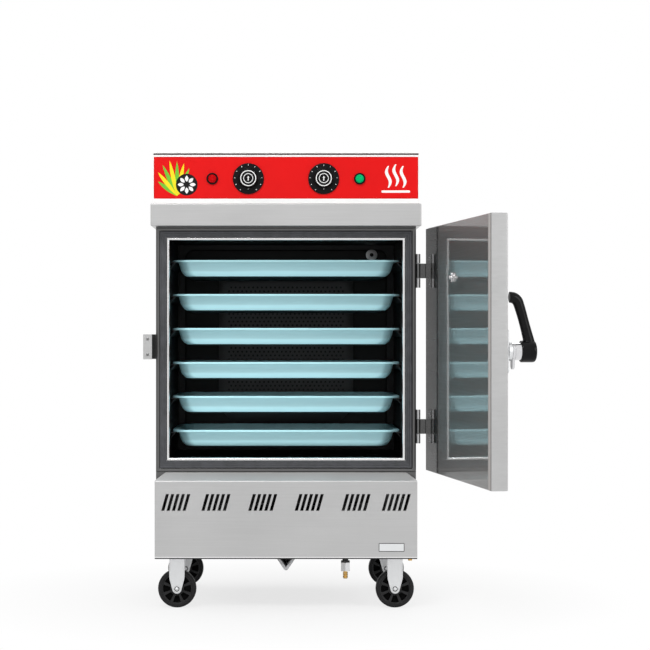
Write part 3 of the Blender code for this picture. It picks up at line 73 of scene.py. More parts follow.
MM = 0.001
CAD_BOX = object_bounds()
TO_FRONT = (math.radians(90), 0, 0)
HALF_TURN = math.radians(180)
DOOR_TURN = math.radians(98)
HINGE = (344.5, -238, 0)
ALONG_X, ALONG_Z = (1, 0, 0), (0, 0, 1)
CORNERS = ("fl", "fr", "rl", "rr")
WHITE = (1, 1, 1, 1)
Spot = namedtuple("Spot", "x y z")
Box = namedtuple("Box", "low high middle half")


# Sizes and colours a user may change


def length(name, description, millimetres):
    return bpy.props.FloatProperty(
        name=name,
        description=description,
        default=millimetres * MM,
        min=0,
        unit="LENGTH",
        subtype="DISTANCE",
        precision=5,
    )


def colour(name, description, value):
    return bpy.props.FloatVectorProperty(
        name=name, description=description, default=value, size=3, min=0, max=1, subtype="COLOR"
    )


class SteamerSizes(bpy.types.PropertyGroup):
    fold: length("Fold radius", "Outside radius of a folded sheet edge", 1.6)
    rim: length("Rim rounding", "Rounding of a cut sheet edge", 0.3)
    hole: length("Perforation", "Diameter of a hole in the duct cover", 6)
    pitch_x: length("Column pitch", "Distance between the perforation's columns", 12.4)
    pitch_z: length("Row pitch", "Distance between the perforation's rows", 10.7)
    tray_corner: length("Tray corner", "Radius of a tray's corner at its rim", 44)
    tray_rim: length("Tray rim", "Width of a tray's flat rim", 14)
    screw: length("Screw head", "Diameter of a screw head beside a hinge or on the strike", 7.2)
    tick: length("Dial mark", "Width of a mark on a dial", 1.4)
    ticks: bpy.props.IntProperty(
        name="Dial marks", description="Number of marks on a dial", default=11, min=4, max=24
    )


class SteamerColours(bpy.types.PropertyGroup):
    steel: colour("Steel", "Brushed sheet of the cabinet", (0.503, 0.503, 0.503))
    # The chamber colour is near black: painted shade on the chamber's steel, carried by the lining, ledges,
    # rear pan and duct cover
    liner: colour("Chamber", "Dark sheet that lines the chamber", (0.03, 0.03, 0.031))
    polish: colour("Door liner", "Polished sheet inside the door", (0.345, 0.325, 0.315))
    film: colour("Tray film", "Pale blue film on the trays", (0.42, 0.72, 0.78))
    red: colour("Control red", "Printed field of the control panel", (0.7, 0.004, 0.0045))
    white: colour("Control white", "Ground and marks of the panel and dials", (0.86, 0.86, 0.85))
    black: colour("Black plastic", "Knobs, bezels and lever", (0.006, 0.006, 0.0065))
    rubber: colour("Tyre", "Tread of the wheels", (0.013, 0.013, 0.0135))
    seal: colour("Seal", "Rubber seal around the opening", (0.062, 0.064, 0.07))
    red_lens: colour("Red lamp", "Lens of the left lamp", (0.46, 0.001, 0.003))
    green_lens: colour("Green lamp", "Lens of the right lamp", (0.001, 0.42, 0.14))
    zinc: colour("Zinc", "Plating of the casters", (0.93, 0.94, 0.95))
    brass: colour("Brass", "Gas and water connections", (0.72, 0.46, 0.16))


def size(name):
    """One of the user's sizes in millimetres."""
    return getattr(bpy.context.scene.steamer_sizes, name) / MM


# Finishes


def fill(tree, made, inputs):
    """Gives a node's inputs, by place or by name, their numbers or the sockets that feed them."""
    for key, value in inputs.items() if isinstance(inputs, dict) else enumerate(inputs):
        if isinstance(value, bpy.types.NodeSocket):
            tree.links.new(value, made.inputs[key])
        else:
            made.inputs[key].default_value = value


def add(tree, kind, inputs=(), out=0, **settings):
    """A node with its settings and inputs. Returns one of its outputs."""
    made = tree.nodes.new("ShaderNode" + kind)
    for name, value in settings.items():
        setattr(made, name, value)
    fill(tree, made, inputs)
    return made.outputs[out] if made.outputs else made


def maths(tree, operation, *values):
    return add(tree, "Math", values, operation=operation)


def pattern(tree, repeats, detail, roughness):
    """Noise on object coordinates, with so many repeats per metre."""
    repeats = repeats if isinstance(repeats, tuple) else (repeats,) * 3
    spot = add(tree, "TexCoord", out="Object")
    place = add(tree, "Mapping", {"Vector": spot, "Scale": repeats})
    return add(tree, "TexNoise", {"Vector": place, "Scale": 1, "Detail": detail, "Roughness": roughness})


def ranged(tree, value, low, high, start=0.3, end=0.7, **settings):
    numbers = {"Value": value, "From Min": start, "From Max": end, "To Min": low, "To Max": high}
    return add(tree, "MapRange", numbers, **settings)


def ramp(tree, value, stops, interpolation="LINEAR"):
    """Colours at places along a pattern."""
    shade = add(tree, "ValToRGB", [value])
    steps = shade.node.color_ramp
    steps.interpolation = interpolation
    while len(steps.elements) < len(stops):
        steps.elements.new(0.5)
    for element, stop in zip(steps.elements, stops):
        element.position = stop[0]
    for element, stop in zip(steps.elements, stops):
        element.color = (*stop[1], 1)
    return shade


def scaled(base, share):
    return tuple(min(1.0, c * share) for c in base)


def surface(tree, base, roughness, metallic, shade, rough, relief, **sockets):
    """Fills in the shader. The shade is a socket, or a pattern with the shares of the base that it
    runs between; the roughness follows a pattern between two values; the relief has a depth."""
    if isinstance(shade, tuple):
        value, dark, light = shade
        shade = ramp(tree, value, ((0.3, scaled(base, dark)), (0.7, scaled(base, light))))
    values = {"Base Color": shade, "Roughness": roughness, "Metallic": metallic}
    if rough:
        values["Roughness"] = ranged(tree, *rough)
    values["Normal"] = add(tree, "Bump", {"Strength": 1, "Distance": relief[1], "Height": relief[0]})
    values.update((name.replace("_", " "), value) for name, value in sockets.items())
    fill(tree, tree.nodes["Principled BSDF"], values)


def grain(tree):
    """Brushing lines: along X on fronts and tops, along Y on sides."""
    normal = add(tree, "SeparateXYZ", [add(tree, "TexCoord", out="Normal")])
    side = maths(tree, "GREATER_THAN", maths(tree, "ABSOLUTE", normal), 0.7)
    along_x, along_y = (pattern(tree, repeats, 6, 0.6) for repeats in ((5, 230, 230), (230, 5, 230)))
    return add(tree, "Mix", {"Factor": side, "A": along_x, "B": along_y})


def brushed(tree, base, roughness, metallic=0.9, depth=0.00002, contrast=0.08):
    """Sheet with fine brushing and faint broad smears left by handling."""
    lines = grain(tree)
    smear = maths(tree, "MULTIPLY", pattern(tree, (3, 3, 4), 4, 0.55), 0.55)
    both = maths(tree, "MULTIPLY_ADD", lines, 0.45, smear)
    shade = (both, 1 - contrast, 1 + contrast)
    rough = (both, roughness * 0.85, roughness * 1.2)
    surface(tree, base, roughness, metallic, shade, rough, (lines, depth))


def moulded(tree, base, roughness, gloss=0.2, grain_size=900, depth=0.00003):
    """Plastic or rubber with a fine skin and faint wear."""
    skin = pattern(tree, grain_size, 2, 0.5)
    wear = pattern(tree, 40, 4, 0.6)
    rough = (wear, roughness * 0.85, roughness * 1.2)
    surface(tree, base, roughness, 0, (wear, 0.8, 1.25), rough, (skin, depth), Specular_IOR_Level=gloss)


def printed(tree, base):
    """Ink on a satin panel, with the least unevenness."""
    cloud = pattern(tree, (6, 6, 9), 3, 0.5)
    relief = (pattern(tree, 500, 2, 0.5), 0.000004)
    surface(tree, base, 0.42, 0, (cloud, 0.965, 1.03), (cloud, 0.38, 0.46), relief, Specular_IOR_Level=0.12)


def film(tree, base):
    """Pale protective film on sheet: satin, with painted shading: deeper on each tray's wall, lighter round
    its bottom fold with a painted highlight there, and lighter on the lower trays.
    """
    first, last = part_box("tray_1"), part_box("tray_6")
    pitch = (first[1].z - last[1].z) / 5
    share = (first[1].z - first[0].z) / pitch
    height = add(tree, "SeparateXYZ", [add(tree, "TexCoord", out="Object")], "Z")
    below = maths(tree, "SUBTRACT", first[1].z, height)
    below = maths(tree, "FRACT", maths(tree, "DIVIDE", below, pitch))
    ripple = pattern(tree, (7, 20, 60), 2, 0.4)
    below = maths(tree, "MULTIPLY_ADD", ripple, 0.05, below)
    # Painted shading down each tray's wall, as shares of the film colour: lighter at the rim, deeper on the
    # wall, lighter round the bottom fold, and a painted highlight at the fold
    stops = ((0.03, 1.0), (0.1, 0.86), (0.55, 0.78), (0.68, 0.98), (0.9, 1.04), (1.0, 1.2))
    stops = [(0.025 + at * share, scaled(base, bright)) for at, bright in stops]
    wall = ramp(tree, below, stops, "EASE")
    # Painted light: the lower a tray stands, the lighter it is made
    lift = ranged(tree, height, 1.29, 1.01, last[0].z, first[1].z)
    lit = add(tree, "VectorMath", {0: wall, "Scale": lift}, operation="SCALE")
    rough = (pattern(tree, (6, 6, 20), 3, 0.5), 0.4, 0.5)
    surface(tree, base, 0.45, 0.3, lit, rough, (ripple, 0.000008), Coat_Weight=0.3, Coat_Roughness=0.3)


def cast(tree, base):
    lumps = pattern(tree, 260, 5, 0.65)
    surface(tree, base, 0.75, 0.5, (lumps, 0.6, 1.5), (lumps, 0.6, 0.9), (lumps, 0.0004))


def plated(tree, base, roughness, contrast=0.07, metallic=1.0):
    """Bright plating with faint spangle and handling marks."""
    spangle = pattern(tree, 160, 4, 0.6)
    shade = (spangle, 1 - contrast, 1 + contrast)
    rough = (spangle, roughness * 0.92, roughness * 1.1)
    surface(tree, base, roughness, metallic, shade, rough, (spangle, 0.000002))


def wool(tree, base):
    fibre = pattern(tree, (300, 300, 60), 6, 0.7)
    surface(tree, base, 0.95, 0, (fibre, 0.7, 1.2), None, (fibre, 0.001))


def hazed(tree, base):
    """Polished sheet that mirrors what faces it through a fine haze, with a painted dark reflection beside
    the hinges.
    """
    lines = pattern(tree, (4, 4, 230), 6, 0.6)
    smear = pattern(tree, (5, 5, 7), 4, 0.55)
    across = add(tree, "SeparateXYZ", [add(tree, "TexCoord", out="Object")], "Y")
    # Painted dark reflection: the sheet is darkened in the strip beside the hinges, with faint smears over it
    away = maths(tree, "MULTIPLY_ADD", smear, 0.12, ranged(tree, across, 1, 0, -0.43, -0.37))
    coat = {"Coat_Weight": 1.0, "Coat_Roughness": 0.05, "Coat_IOR": 1.6}
    surface(tree, base, 0.5, 1, (away, 0.15, 1), (lines, 0.42, 0.56), (lines, 0.000004), **coat)


def glazed(tree, base):
    """Clear moulded lens with fine rings of facets, unlit."""
    cells = pattern(tree, 420, 2, 0.5)
    shade, rough = (cells, 0.8, 1.3), (cells, 0.08, 0.2)
    surface(tree, base, 0.16, 0, shade, rough, (cells, 0.00008), Specular_IOR_Level=0.06)


def recipes():
    """For each finish its kind, its base colour and what that kind is told."""
    c = bpy.context.scene.steamer_colours
    return {
        "cabinet_steel": (brushed, c.steel, 0.32),
        "frame_steel": (plated, scaled(c.steel, 0.27), 0.3, 0.03),
        "ledge_steel": (brushed, scaled(c.steel, 1.25), 0.5, 0.35),
        "hinge_steel": (plated, scaled(c.steel, 0.42), 0.22, 0.04),
        "tank_steel": (brushed, scaled(c.steel, 0.06), 0.45),
        "lip_steel": (plated, scaled(c.steel, 1.55), 0.24, 0.03),
        "rear_sheet": (brushed, scaled(c.liner, 0.45), 0.45, 0.6, 0.00001),
        "chamber_sheet": (brushed, c.liner, 0.42, 0.7, 0.00001),
        "duct_sheet": (brushed, scaled(c.liner, 1.7), 0.4, 0.4, 0.00001),
        "polished_sheet": (hazed, c.polish),
        "door_return": (plated, scaled(c.polish, 0.2), 0.3, 0.04),
        "tray_film": (film, c.film),
        "tray_shade": (moulded, scaled(c.film, 0.03), 0.5, 0.1),
        "chrome": (plated, (0.68, 0.68, 0.69), 0.14, 0.03),
        "zinc": (plated, scaled(c.zinc, 0.76), 0.3, 0.02, 0.75),
        "dull_zinc": (plated, scaled(c.zinc, 0.72), 0.36),
        "brass": (plated, c.brass, 0.24),
        "iron": (cast, (0.05, 0.05, 0.05)),
        "black_plastic": (moulded, c.black, 0.3, 0.08),
        "lever_plastic": (moulded, scaled(c.black, 0.5), 0.16, 0.14, 500, 0.00002),
        "grey_plastic": (moulded, (0.42, 0.42, 0.43), 0.45),
        "shadow_black": (moulded, (0.003, 0.003, 0.003), 0.7, 0.04),
        "tyre": (moulded, c.rubber, 0.42, 0.16, 700, 0.00005),
        "hub_plastic": (moulded, scaled(c.rubber, 1.3), 0.34, 0.2, 600, 0.00004),
        "seal_rubber": (moulded, c.seal, 0.5, 0.3, 800, 0.00005),
        "panel_white": (printed, c.white),
        "panel_red": (printed, c.red),
        "panel_edge": (printed, (0.085, 0.065, 0.065)),
        "dark_red": (printed, scaled(c.red, 0.86)),
        "mark_white": (printed, c.white),
        "leaf_yellow": (printed, (0.83, 0.70, 0.02)),
        "leaf_green": (printed, (0.16, 0.50, 0.04)),
        "print_black": (printed, (0.008, 0.008, 0.008)),
        "red_lens": (glazed, c.red_lens),
        "green_lens": (glazed, c.green_lens),
        "mineral_wool": (wool, (0.6, 0.52, 0.36)),
        "plate_foil": (brushed, (0.76, 0.77, 0.78), 0.36, 0.9, 0.000006, 0.03),
    }


def finish(name):
    """A finish by name, made the first time it is asked for."""
    found = bpy.data.materials.get(f"finish_{name}")
    if found:
        return found
    kind, base, *values = recipes()[name]
    made = bpy.data.materials.new(f"finish_{name}")
    made.use_nodes = True
    made.diffuse_color = (*base, 1)
    kind(made.node_tree, base, *values)
    return made


# Modelling by hand: what is selected, drawn, turned and cut


def deselect():
    if bpy.context.object and bpy.context.object.mode != "OBJECT":
        bpy.ops.object.mode_set(mode="OBJECT")
    bpy.ops.object.select_all(action="DESELECT")


def started(name):
    """The primitive that was just added, under its name and in edit mode."""
    piece = bpy.context.object
    piece.name = name
    edit(piece)
    return piece


def hold(piece):
    deselect()
    piece.select_set(True)
    bpy.context.view_layer.objects.active = piece


def edit(piece):
    hold(piece)
    bpy.ops.object.mode_set(mode="EDIT")
    bpy.ops.mesh.select_mode(type="VERT")
    everything()


def leave():
    bpy.ops.object.mode_set(mode="OBJECT")


def everything():
    bpy.ops.mesh.select_all(action="SELECT")


def pick(kind, test):
    """Selects only what passes the test, which is given its middle and, for a face, its normal."""
    bpy.ops.mesh.select_mode(type=kind)
    bpy.ops.mesh.select_all(action="DESELECT")
    mesh = bpy.context.edit_object.data
    work = bmesh.from_edit_mesh(mesh)
    for item in {"VERT": work.verts, "EDGE": work.edges, "FACE": work.faces}[kind]:
        spots = [item.co] if kind == "VERT" else [vert.co for vert in item.verts]
        at = sum(spots, Vector()) / len(spots) / MM
        if test(at, item.normal if kind == "FACE" else None):
            item.select_set(True)
    work.select_flush_mode()
    bmesh.update_edit_mesh(mesh)


def metres(spot):
    return [value * MM for value in spot]


def move(x=0.0, y=0.0, z=0.0):
    bpy.ops.transform.translate(value=metres((x, y, z)))


def pull(x=0.0, y=0.0, z=0.0):
    bpy.ops.mesh.extrude_region_move(TRANSFORM_OT_translate={"value": metres((x, y, z))})


def grow(x, y, z=1.0, centre=(0, 0, 0)):
    bpy.ops.transform.resize(value=(x, y, z), center_override=metres(centre))


def round_corners(radius, segments):
    bpy.ops.mesh.bevel(offset=radius * MM, segments=segments, affect="VERTICES")


def merge(gap):
    everything()
    bpy.ops.mesh.remove_doubles(threshold=gap * MM)


def tidy_mesh():
    merge(0.002)
    bpy.ops.mesh.normals_make_consistent(inside=False)


def draw(name, points, closed=False):
    """A line drawn point by point, left in edit mode. A closed one is filled."""
    deselect()
    bpy.ops.mesh.primitive_plane_add(size=0.01, location=(0, 0, 0))
    piece = started(name)
    bpy.ops.mesh.merge(type="CENTER")
    move(*points[0])
    spots = [Vector(metres(point)) for point in points]
    for a, b in zip(spots, spots[1:]):
        bpy.ops.mesh.extrude_region_move(TRANSFORM_OT_translate={"value": b - a})
    if closed:
        everything()
        bpy.ops.mesh.edge_face_add()
    return piece


def plate(name, outline, thickness, lift=0.0):
    """A flat outline in X and Y, filled and pulled up to a plate."""
    piece = draw(name, [(x, y, lift) for x, y in outline], closed=True)
    everything()
    pull(z=thickness)
    everything()
    bpy.ops.mesh.normals_make_consistent(inside=False)
    leave()
    return piece


def turned(name, profile, steps=48):
    """A profile of (radius, height) spun round the local Z."""
    piece = draw(name, [(r, 0, h) for r, h in profile])
    everything()
    bpy.ops.mesh.spin(steps=steps, angle=math.tau, center=(0, 0, 0), axis=(0, 0, 1))
    tidy_mesh()
    leave()
    return piece


def step_in(piece, test, *steps):
    """Insets the faces that pass the test, and moves them along Z, step by step."""
    edit(piece)
    pick("FACE", test)
    for width, rise in steps:
        bpy.ops.mesh.inset(thickness=width * MM)
        if rise:
            pull(z=rise)
    leave()


def upper(at, way):
    return way.z > 0.9


def settle(piece, at=(0, 0, 0), turn=(0, 0, 0)):
    """Puts a piece made at the origin in its place, with the place in its mesh."""
    hold(piece)
    piece.location = metres(at)
    piece.rotation_euler = turn
    bpy.ops.object.transform_apply(location=True, rotation=True, scale=True)
    return piece


def on_door(piece):
    """Turns a piece from the hinge's own axes, where the closed door runs along -X, to the open door."""
    return settle(piece, HINGE, (0, 0, DOOR_TURN))


def apply(piece, kind, **values):
    hold(piece)
    change = piece.modifiers.new("step", kind)
    for name, value in values.items():
        setattr(change, name, value)
    bpy.ops.object.modifier_apply(modifier=change.name)
    return piece


def soften(piece, width, segments=2, degrees=34):
    if width:
        angle = math.radians(degrees)
        apply(piece, "BEVEL", width=width * MM, segments=segments, limit_method="ANGLE", angle_limit=angle)
    return piece


def thicken(piece, skin, way, offset=-1, even=True):
    """Gives an open sheet its thickness, once its largest face looks that way."""
    edit(piece)
    widest = max(bmesh.from_edit_mesh(piece.data).faces, key=lambda face: face.calc_area())
    if widest.normal.dot(Vector(way)) < 0:
        bpy.ops.mesh.flip_normals()
    leave()
    return apply(piece, "SOLIDIFY", thickness=skin * MM, offset=offset, use_even_offset=even)


def copy_of(piece, name):
    hold(piece)
    bpy.ops.object.duplicate(linked=False)
    made = bpy.context.object
    made.name = name
    return made


def fused(pieces, name):
    """One mesh from several."""
    hold(pieces[0])
    for piece in pieces[1:]:
        piece.select_set(True)
    bpy.ops.object.join()
    pieces[0].name = name
    return pieces[0]


def cut_away(piece, cutter, operation="DIFFERENCE"):
    apply(piece, "BOOLEAN", operation=operation, solver="EXACT", object=cutter)
    bpy.data.objects.remove(cutter)
    return piece


def deliver(piece, coat, slot, *nodes, body="cabinet", degrees=34, weigh=True):
    """Gives a finished piece its coat, its shading, the body it rides on and what it stands for."""
    if coat:
        piece.data.materials.clear()
        piece.data.materials.append(finish(coat))
    hold(piece)
    bpy.ops.object.shade_smooth_by_angle(angle=math.radians(degrees))
    if weigh:
        apply(piece, "WEIGHTED_NORMAL", keep_sharp=True, weight=80)
    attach(piece, body)
    if nodes:
        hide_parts(*nodes)
    return piece


def coats(piece, ground, **others):
    """Several finishes on one piece: each of the others goes on the faces that pass its test."""
    piece.data.materials.clear()
    for name in (ground, *others):
        piece.data.materials.append(finish(name))
    edit(piece)
    for n, test in enumerate(others.values()):
        pick("FACE", test)
        piece.active_material_index = n + 1
        bpy.ops.object.material_slot_assign()
    leave()


def split(piece, axis, *places):
    """Edges where planes across an axis cross a piece, as lines for a finish to end on."""
    edit(piece)
    for place in places:
        everything()
        bpy.ops.mesh.bisect(plane_co=Vector(axis) * (place * MM), plane_no=axis)
    leave()


def broad(face):
    """Whether a face is more than the cut edge of a sheet."""
    around = sum(edge.calc_length() for edge in face.edges)
    return 2 * face.calc_area() > 2.4 * MM * around


def from_solid(name, solid, fold=None, rim=None, segments=3):
    """A copy of a solid's own sheet with its folds rounded and its cut edges eased."""
    made = bpy.data.objects.new(name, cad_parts[solid].data.copy())
    bpy.context.scene.collection.objects.link(made)
    made.data.materials.clear()
    edit(made)
    merge(0.004)
    bpy.ops.mesh.dissolve_limited(angle_limit=math.radians(0.6))
    fold = size("fold") if fold is None else fold
    if fold:
        bpy.ops.mesh.select_mode(type="EDGE")
        bpy.ops.mesh.select_all(action="DESELECT")
        work = bmesh.from_edit_mesh(made.data)
        for edge in work.edges:
            faces = edge.link_faces
            if len(faces) == 2 and edge.is_convex and all(broad(face) for face in faces):
                edge.select_set(edge.calc_face_angle() > math.radians(18))
        work.select_flush_mode()
        bmesh.update_edit_mesh(made.data)
        bpy.ops.mesh.bevel(offset=fold * MM, segments=segments, clamp_overlap=True, affect="EDGES")
    leave()
    return soften(made, size("rim") if rim is None else rim, 1)


def sheet(name, solid, coat, slot, fold=None, rim=None, body="cabinet"):
    """A sheet piece that keeps its solid's form."""
    return deliver(from_solid(name, solid, fold, rim), coat, slot, solid, body=body)


def dress(solids, coat):
    """Solids whose own shape stays get a finish."""
    for solid in solids:
        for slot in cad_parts[solid].material_slots:
            slot.material = finish(coat)


def span(solid):
    """A solid's box in millimetres: its lowest and highest corners, its middle and its half size."""
    low, high = ([value / MM for value in corner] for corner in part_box(solid))
    middle = [(a + b) / 2 for a, b in zip(low, high)]
    half = [(b - a) / 2 for a, b in zip(low, high)]
    return Box(*(Spot(*values) for values in (low, high, middle, half)))


def seat(solid):
    """The middle of a solid's rear face, where a piece that looks to the front is seated."""
    box = span(solid)
    return (box.middle.x, box.high.y, box.middle.z)


def disc(solid):
    """Radius and thickness of a round solid that looks to the front."""
    box = span(solid)
    return box.half.x, box.high.y - box.low.y


def arc(centre, radius, start, end, count):
    """Points on an arc, in degrees."""
    made = []
    for n in range(count):
        angle = math.radians(start + (end - start) * n / (count - 1))
        made.append((centre[0] + radius * math.cos(angle), centre[1] + radius * math.sin(angle)))
    return made


def rounded(half_x, half_y, radius, count=5):
    """Outline of a rectangle with round corners."""
    x, y = half_x - radius, half_y - radius
    signs = ((1, 1), (-1, 1), (-1, -1), (1, -1))
    return [
        point
        for n, (sx, sy) in enumerate(signs)
        for point in arc((sx * x, sy * y), radius, 90 * n, 90 * n + 90, count)
    ]


def screw_head(name, radius, height):
    """A cross-slot pan head that stands on the local XY plane and looks along +Z."""
    shares = ((0, 1), (0.45, 0.98), (0.78, 0.82), (0.96, 0.45), (1, 0.1), (1, 0), (0, 0))
    head = turned(name, [(radius * r, height * h) for r, h in shares], 24)
    for turn in (0, HALF_TURN / 2):
        bar = plate(name + "_slot", rounded(radius * 0.62, radius * 0.11, radius * 0.1, 3), height)
        cut_away(head, settle(bar, (0, 0, height * 0.45), (0, 0, turn)))
    return head


def screws(name, spots, turn, coat, radius, height, body="cabinet"):
    """One screw head, copied to each spot and joined."""
    first = screw_head(name, radius, height)
    copies = [copy_of(first, f"{name}_{n}") for n in range(len(spots))]
    bpy.data.objects.remove(first)
    for copy, spot in zip(copies, spots):
        settle(copy, spot, turn)
    made = fused(copies, name)
    if body == "door":
        on_door(made)
    deliver(made, coat, "brushed_steel", body=body)


# The pieces


class Maker:
    bl_options = {"REGISTER", "UNDO"}


def done():
    deselect()
    return {"FINISHED"}


class STEAMER_OT_base(Maker, bpy.types.Operator):
    """Base with its vents, floor and access cover"""

    bl_idname = "steamer.base"
    bl_label = "Base"

    def execute(self, context):
        skirt = from_solid("skirt", "base_skirt", 2.6, segments=4)
        # Painted shadow and highlight on the skirt: its bottom strip gets darkened steel, and the strip just
        # above it brightened steel
        shadow, line, ledge = -1.2, 1.6, -250
        split(skirt, ALONG_Z, shadow, line)
        coats(
            skirt,
            "cabinet_steel",
            ledge_steel=lambda at, way: 0.15 < way.z < 0.98 and at.y < ledge,
            tank_steel=lambda at, way: at.z < shadow and way.y < -0.5,
            lip_steel=lambda at, way: shadow < at.z < line and way.y < -0.5,
        )
        deliver(skirt, None, "brushed_steel", "base_skirt")
        sheet("floor_pan", "base_floor", "cabinet_steel", "brushed_steel", 0, 0.3)
        box = span("access_cover")
        outline = rounded(box.half.x, box.half.y, 8)
        cover = plate("access_lid", outline, box.high.z - box.low.z, box.low.z)
        deliver(soften(cover, 0.4), "cabinet_steel", "brushed_steel", "access_cover")
        return done()


class STEAMER_OT_rating_plate(Maker, bpy.types.Operator):
    """Bare plate with a raised border on the front of the base"""

    bl_idname = "steamer.rating_plate"
    bl_label = "Rating plate"

    def execute(self, context):
        box = span("rating_plate")
        border, dip, field = 1.5, 0.15, 0.25
        foil = plate("bare_plate", rounded(box.half.x, box.half.z, 2), box.high.y - box.low.y - dip)
        step_in(foil, upper, (border, -dip), (0.4, field))
        inner_x, inner_y = box.half.x - border - 0.1, box.half.z - border - 0.1
        coats(foil, "plate_foil", print_black=lambda at, way: abs(at.x) > inner_x or abs(at.y) > inner_y)
        settle(foil, seat("rating_plate"), TO_FRONT)
        deliver(foil, None, "label_foil", "rating_plate")
        return done()


class STEAMER_OT_body(Maker, bpy.types.Operator):
    """Outer shell, door frame and the seal around the opening"""

    bl_idname = "steamer.body"
    bl_label = "Body"

    def execute(self, context):
        shell = from_solid("shell", "outer_shell")
        # The shell's front faces get darkened steel: painted shade
        coats(shell, "cabinet_steel", frame_steel=lambda at, way: way.y < -0.2)
        deliver(shell, None, "brushed_steel", "outer_shell")
        front = from_solid("opening_frame", "door_frame", 2.4, 0.25)
        low, high = span("door_seal")[:2]
        inside = 3
        wide, sill, head = high.x - inside, low.z + inside, high.z - inside
        split(front, ALONG_X, -wide, wide)
        split(front, ALONG_Z, sill, head)
        # The frame's front is darkened steel, a painted shade, and its lip round the opening is brightened
        # steel, a painted highlight
        coats(front, "frame_steel", lip_steel=lambda at, way: abs(at.x) < wide and sill < at.z < head)
        deliver(front, None, "brushed_steel", "door_frame")
        sheet("ridged_seal", "door_seal", "seal_rubber", "silicone", 0.9, 0)
        return done()


class STEAMER_OT_chamber(Maker, bpy.types.Operator):
    """Chamber lining with its racks and rear panel"""

    bl_idname = "steamer.chamber"
    bl_label = "Chamber"

    def execute(self, context):
        # The lining and ledges are near-black steel: painted shade
        sheet("lining", "chamber_liner", "chamber_sheet", "liner_steel", 1.2)
        for side in ("left", "right"):
            sheet(f"ledges_{side}", f"rack_{side}", "chamber_sheet", "liner_steel", 0.9, 0.2)
        # The rear pan is darker still: painted shade behind the perforation
        sheet("rear_pan", "rear_liner_panel", "rear_sheet", "liner_steel", 0.8, 0.2)
        return done()


class STEAMER_OT_duct(Maker, bpy.types.Operator):
    """Duct cover with its fine perforation"""

    bl_idname = "steamer.duct"
    bl_label = "Duct cover"

    def execute(self, context):
        low, high = span("duct_panel")[:2]
        wide, slant, margin, skin = high.x, 42, 14, 1
        narrow, knee = wide - slant, low.z + slant
        right = [(narrow, low.z), (wide, knee), (wide, high.z)]
        outline = [(-narrow, low.z), *right, (-wide, high.z), (-wide, knee)]
        cover = draw("duct_cover", [(x, low.y, z) for x, z in outline], closed=True)
        pick("EDGE", lambda at, way: at.z > low.z + 0.1)
        pull(y=high.y - low.y)
        tidy_mesh()
        thicken(cover, skin, (0, -1, 0))
        soften(cover, 0.9)
        across, up = size("pitch_x"), size("pitch_z")
        columns = math.floor(0.87 * wide / across)
        rows = 2 * math.floor((high.z - knee - margin) / up / 2)
        field_x, field_z = (columns + 0.25) * across, rows * up / 2
        level = (knee + high.z - margin) / 2
        corners = [(-field_x, -field_z), (field_x, -field_z), (field_x, field_z), (-field_x, field_z)]
        window = plate("window", corners, 6 * skin)
        cut_away(cover, settle(window, (0, low.y + 3 * skin, level), TO_FRONT))
        field = self.perforated(across, up, columns, rows, field_x, skin)
        settle(field, (0, low.y + skin, level), TO_FRONT)
        fused([cover, field], "duct_cover")
        # The cover's dark sheet is painted shade of the chamber
        deliver(cover, "duct_sheet", "liner_steel", "duct_panel", weigh=False)
        return done()

    def perforated(self, across, up, columns, rows, limit, skin):
        """A cell with a round hole, repeated in staggered rows and cut off between the holes."""
        hole = size("hole") / 2
        deselect()
        bpy.ops.mesh.primitive_grid_add(x_subdivisions=2, y_subdivisions=2, size=1)
        field = started("perforated_sheet")
        grow(across * MM, up * MM)
        pick("VERT", lambda at, way: at.length < 0.1)
        round_corners(hole, 2)
        bpy.ops.mesh.delete(type="FACE")
        pick("VERT", lambda at, way: at.length < 0.6 * hole)
        nearest = min(vert.co.length for vert in bmesh.from_edit_mesh(field.data).verts)
        grow(hole * MM / nearest, hole * MM / nearest)
        everything()
        bpy.ops.mesh.duplicate_move(TRANSFORM_OT_translate={"value": (across / 2 * MM, up * MM, 0)})
        leave()
        weld = {"use_merge_vertices": True, "merge_threshold": 0.01 * MM}
        weld.update(use_relative_offset=False, use_constant_offset=True)
        for count, shift in ((2 * columns + 3, (across, 0, 0)), (rows // 2, (0, 2 * up, 0))):
            apply(field, "ARRAY", count=count, constant_offset_displace=metres(shift), **weld)
        settle(field, (-(columns + 1) * across, -(rows - 1) / 2 * up, 0))
        edit(field)
        merge(0.01)
        for side in (-1, 1):
            everything()
            bpy.ops.mesh.bisect(plane_co=(side * limit * MM, 0, 0), plane_no=(side, 0, 0), clear_outer=True)
        leave()
        return thicken(field, skin, ALONG_Z, 1, False)


class STEAMER_OT_steam_port(Maker, bpy.types.Operator):
    """Round port high on the rear panel"""

    bl_idname = "steamer.steam_port"
    bl_label = "Steam port"

    def execute(self, context):
        radius, deep = disc("steam_port")
        tube, bore, flange, ease = radius * 0.485, radius * 0.33, deep / 3, 0.6
        profile = [
            (bore, 0), (bore, deep - ease), (bore + ease, deep), (tube - ease, deep), (tube, deep - ease),
            (tube, flange * 1.2), (tube + 2 * ease, flange), (radius * 0.86, flange),
            (radius * 0.97, flange * 0.8), (radius, flange * 0.5), (radius, 0), (bore, 0),
        ]
        port = settle(turned("port", profile), seat("steam_port"), TO_FRONT)
        deliver(port, "dull_zinc", "liner_steel", "steam_port")
        return done()


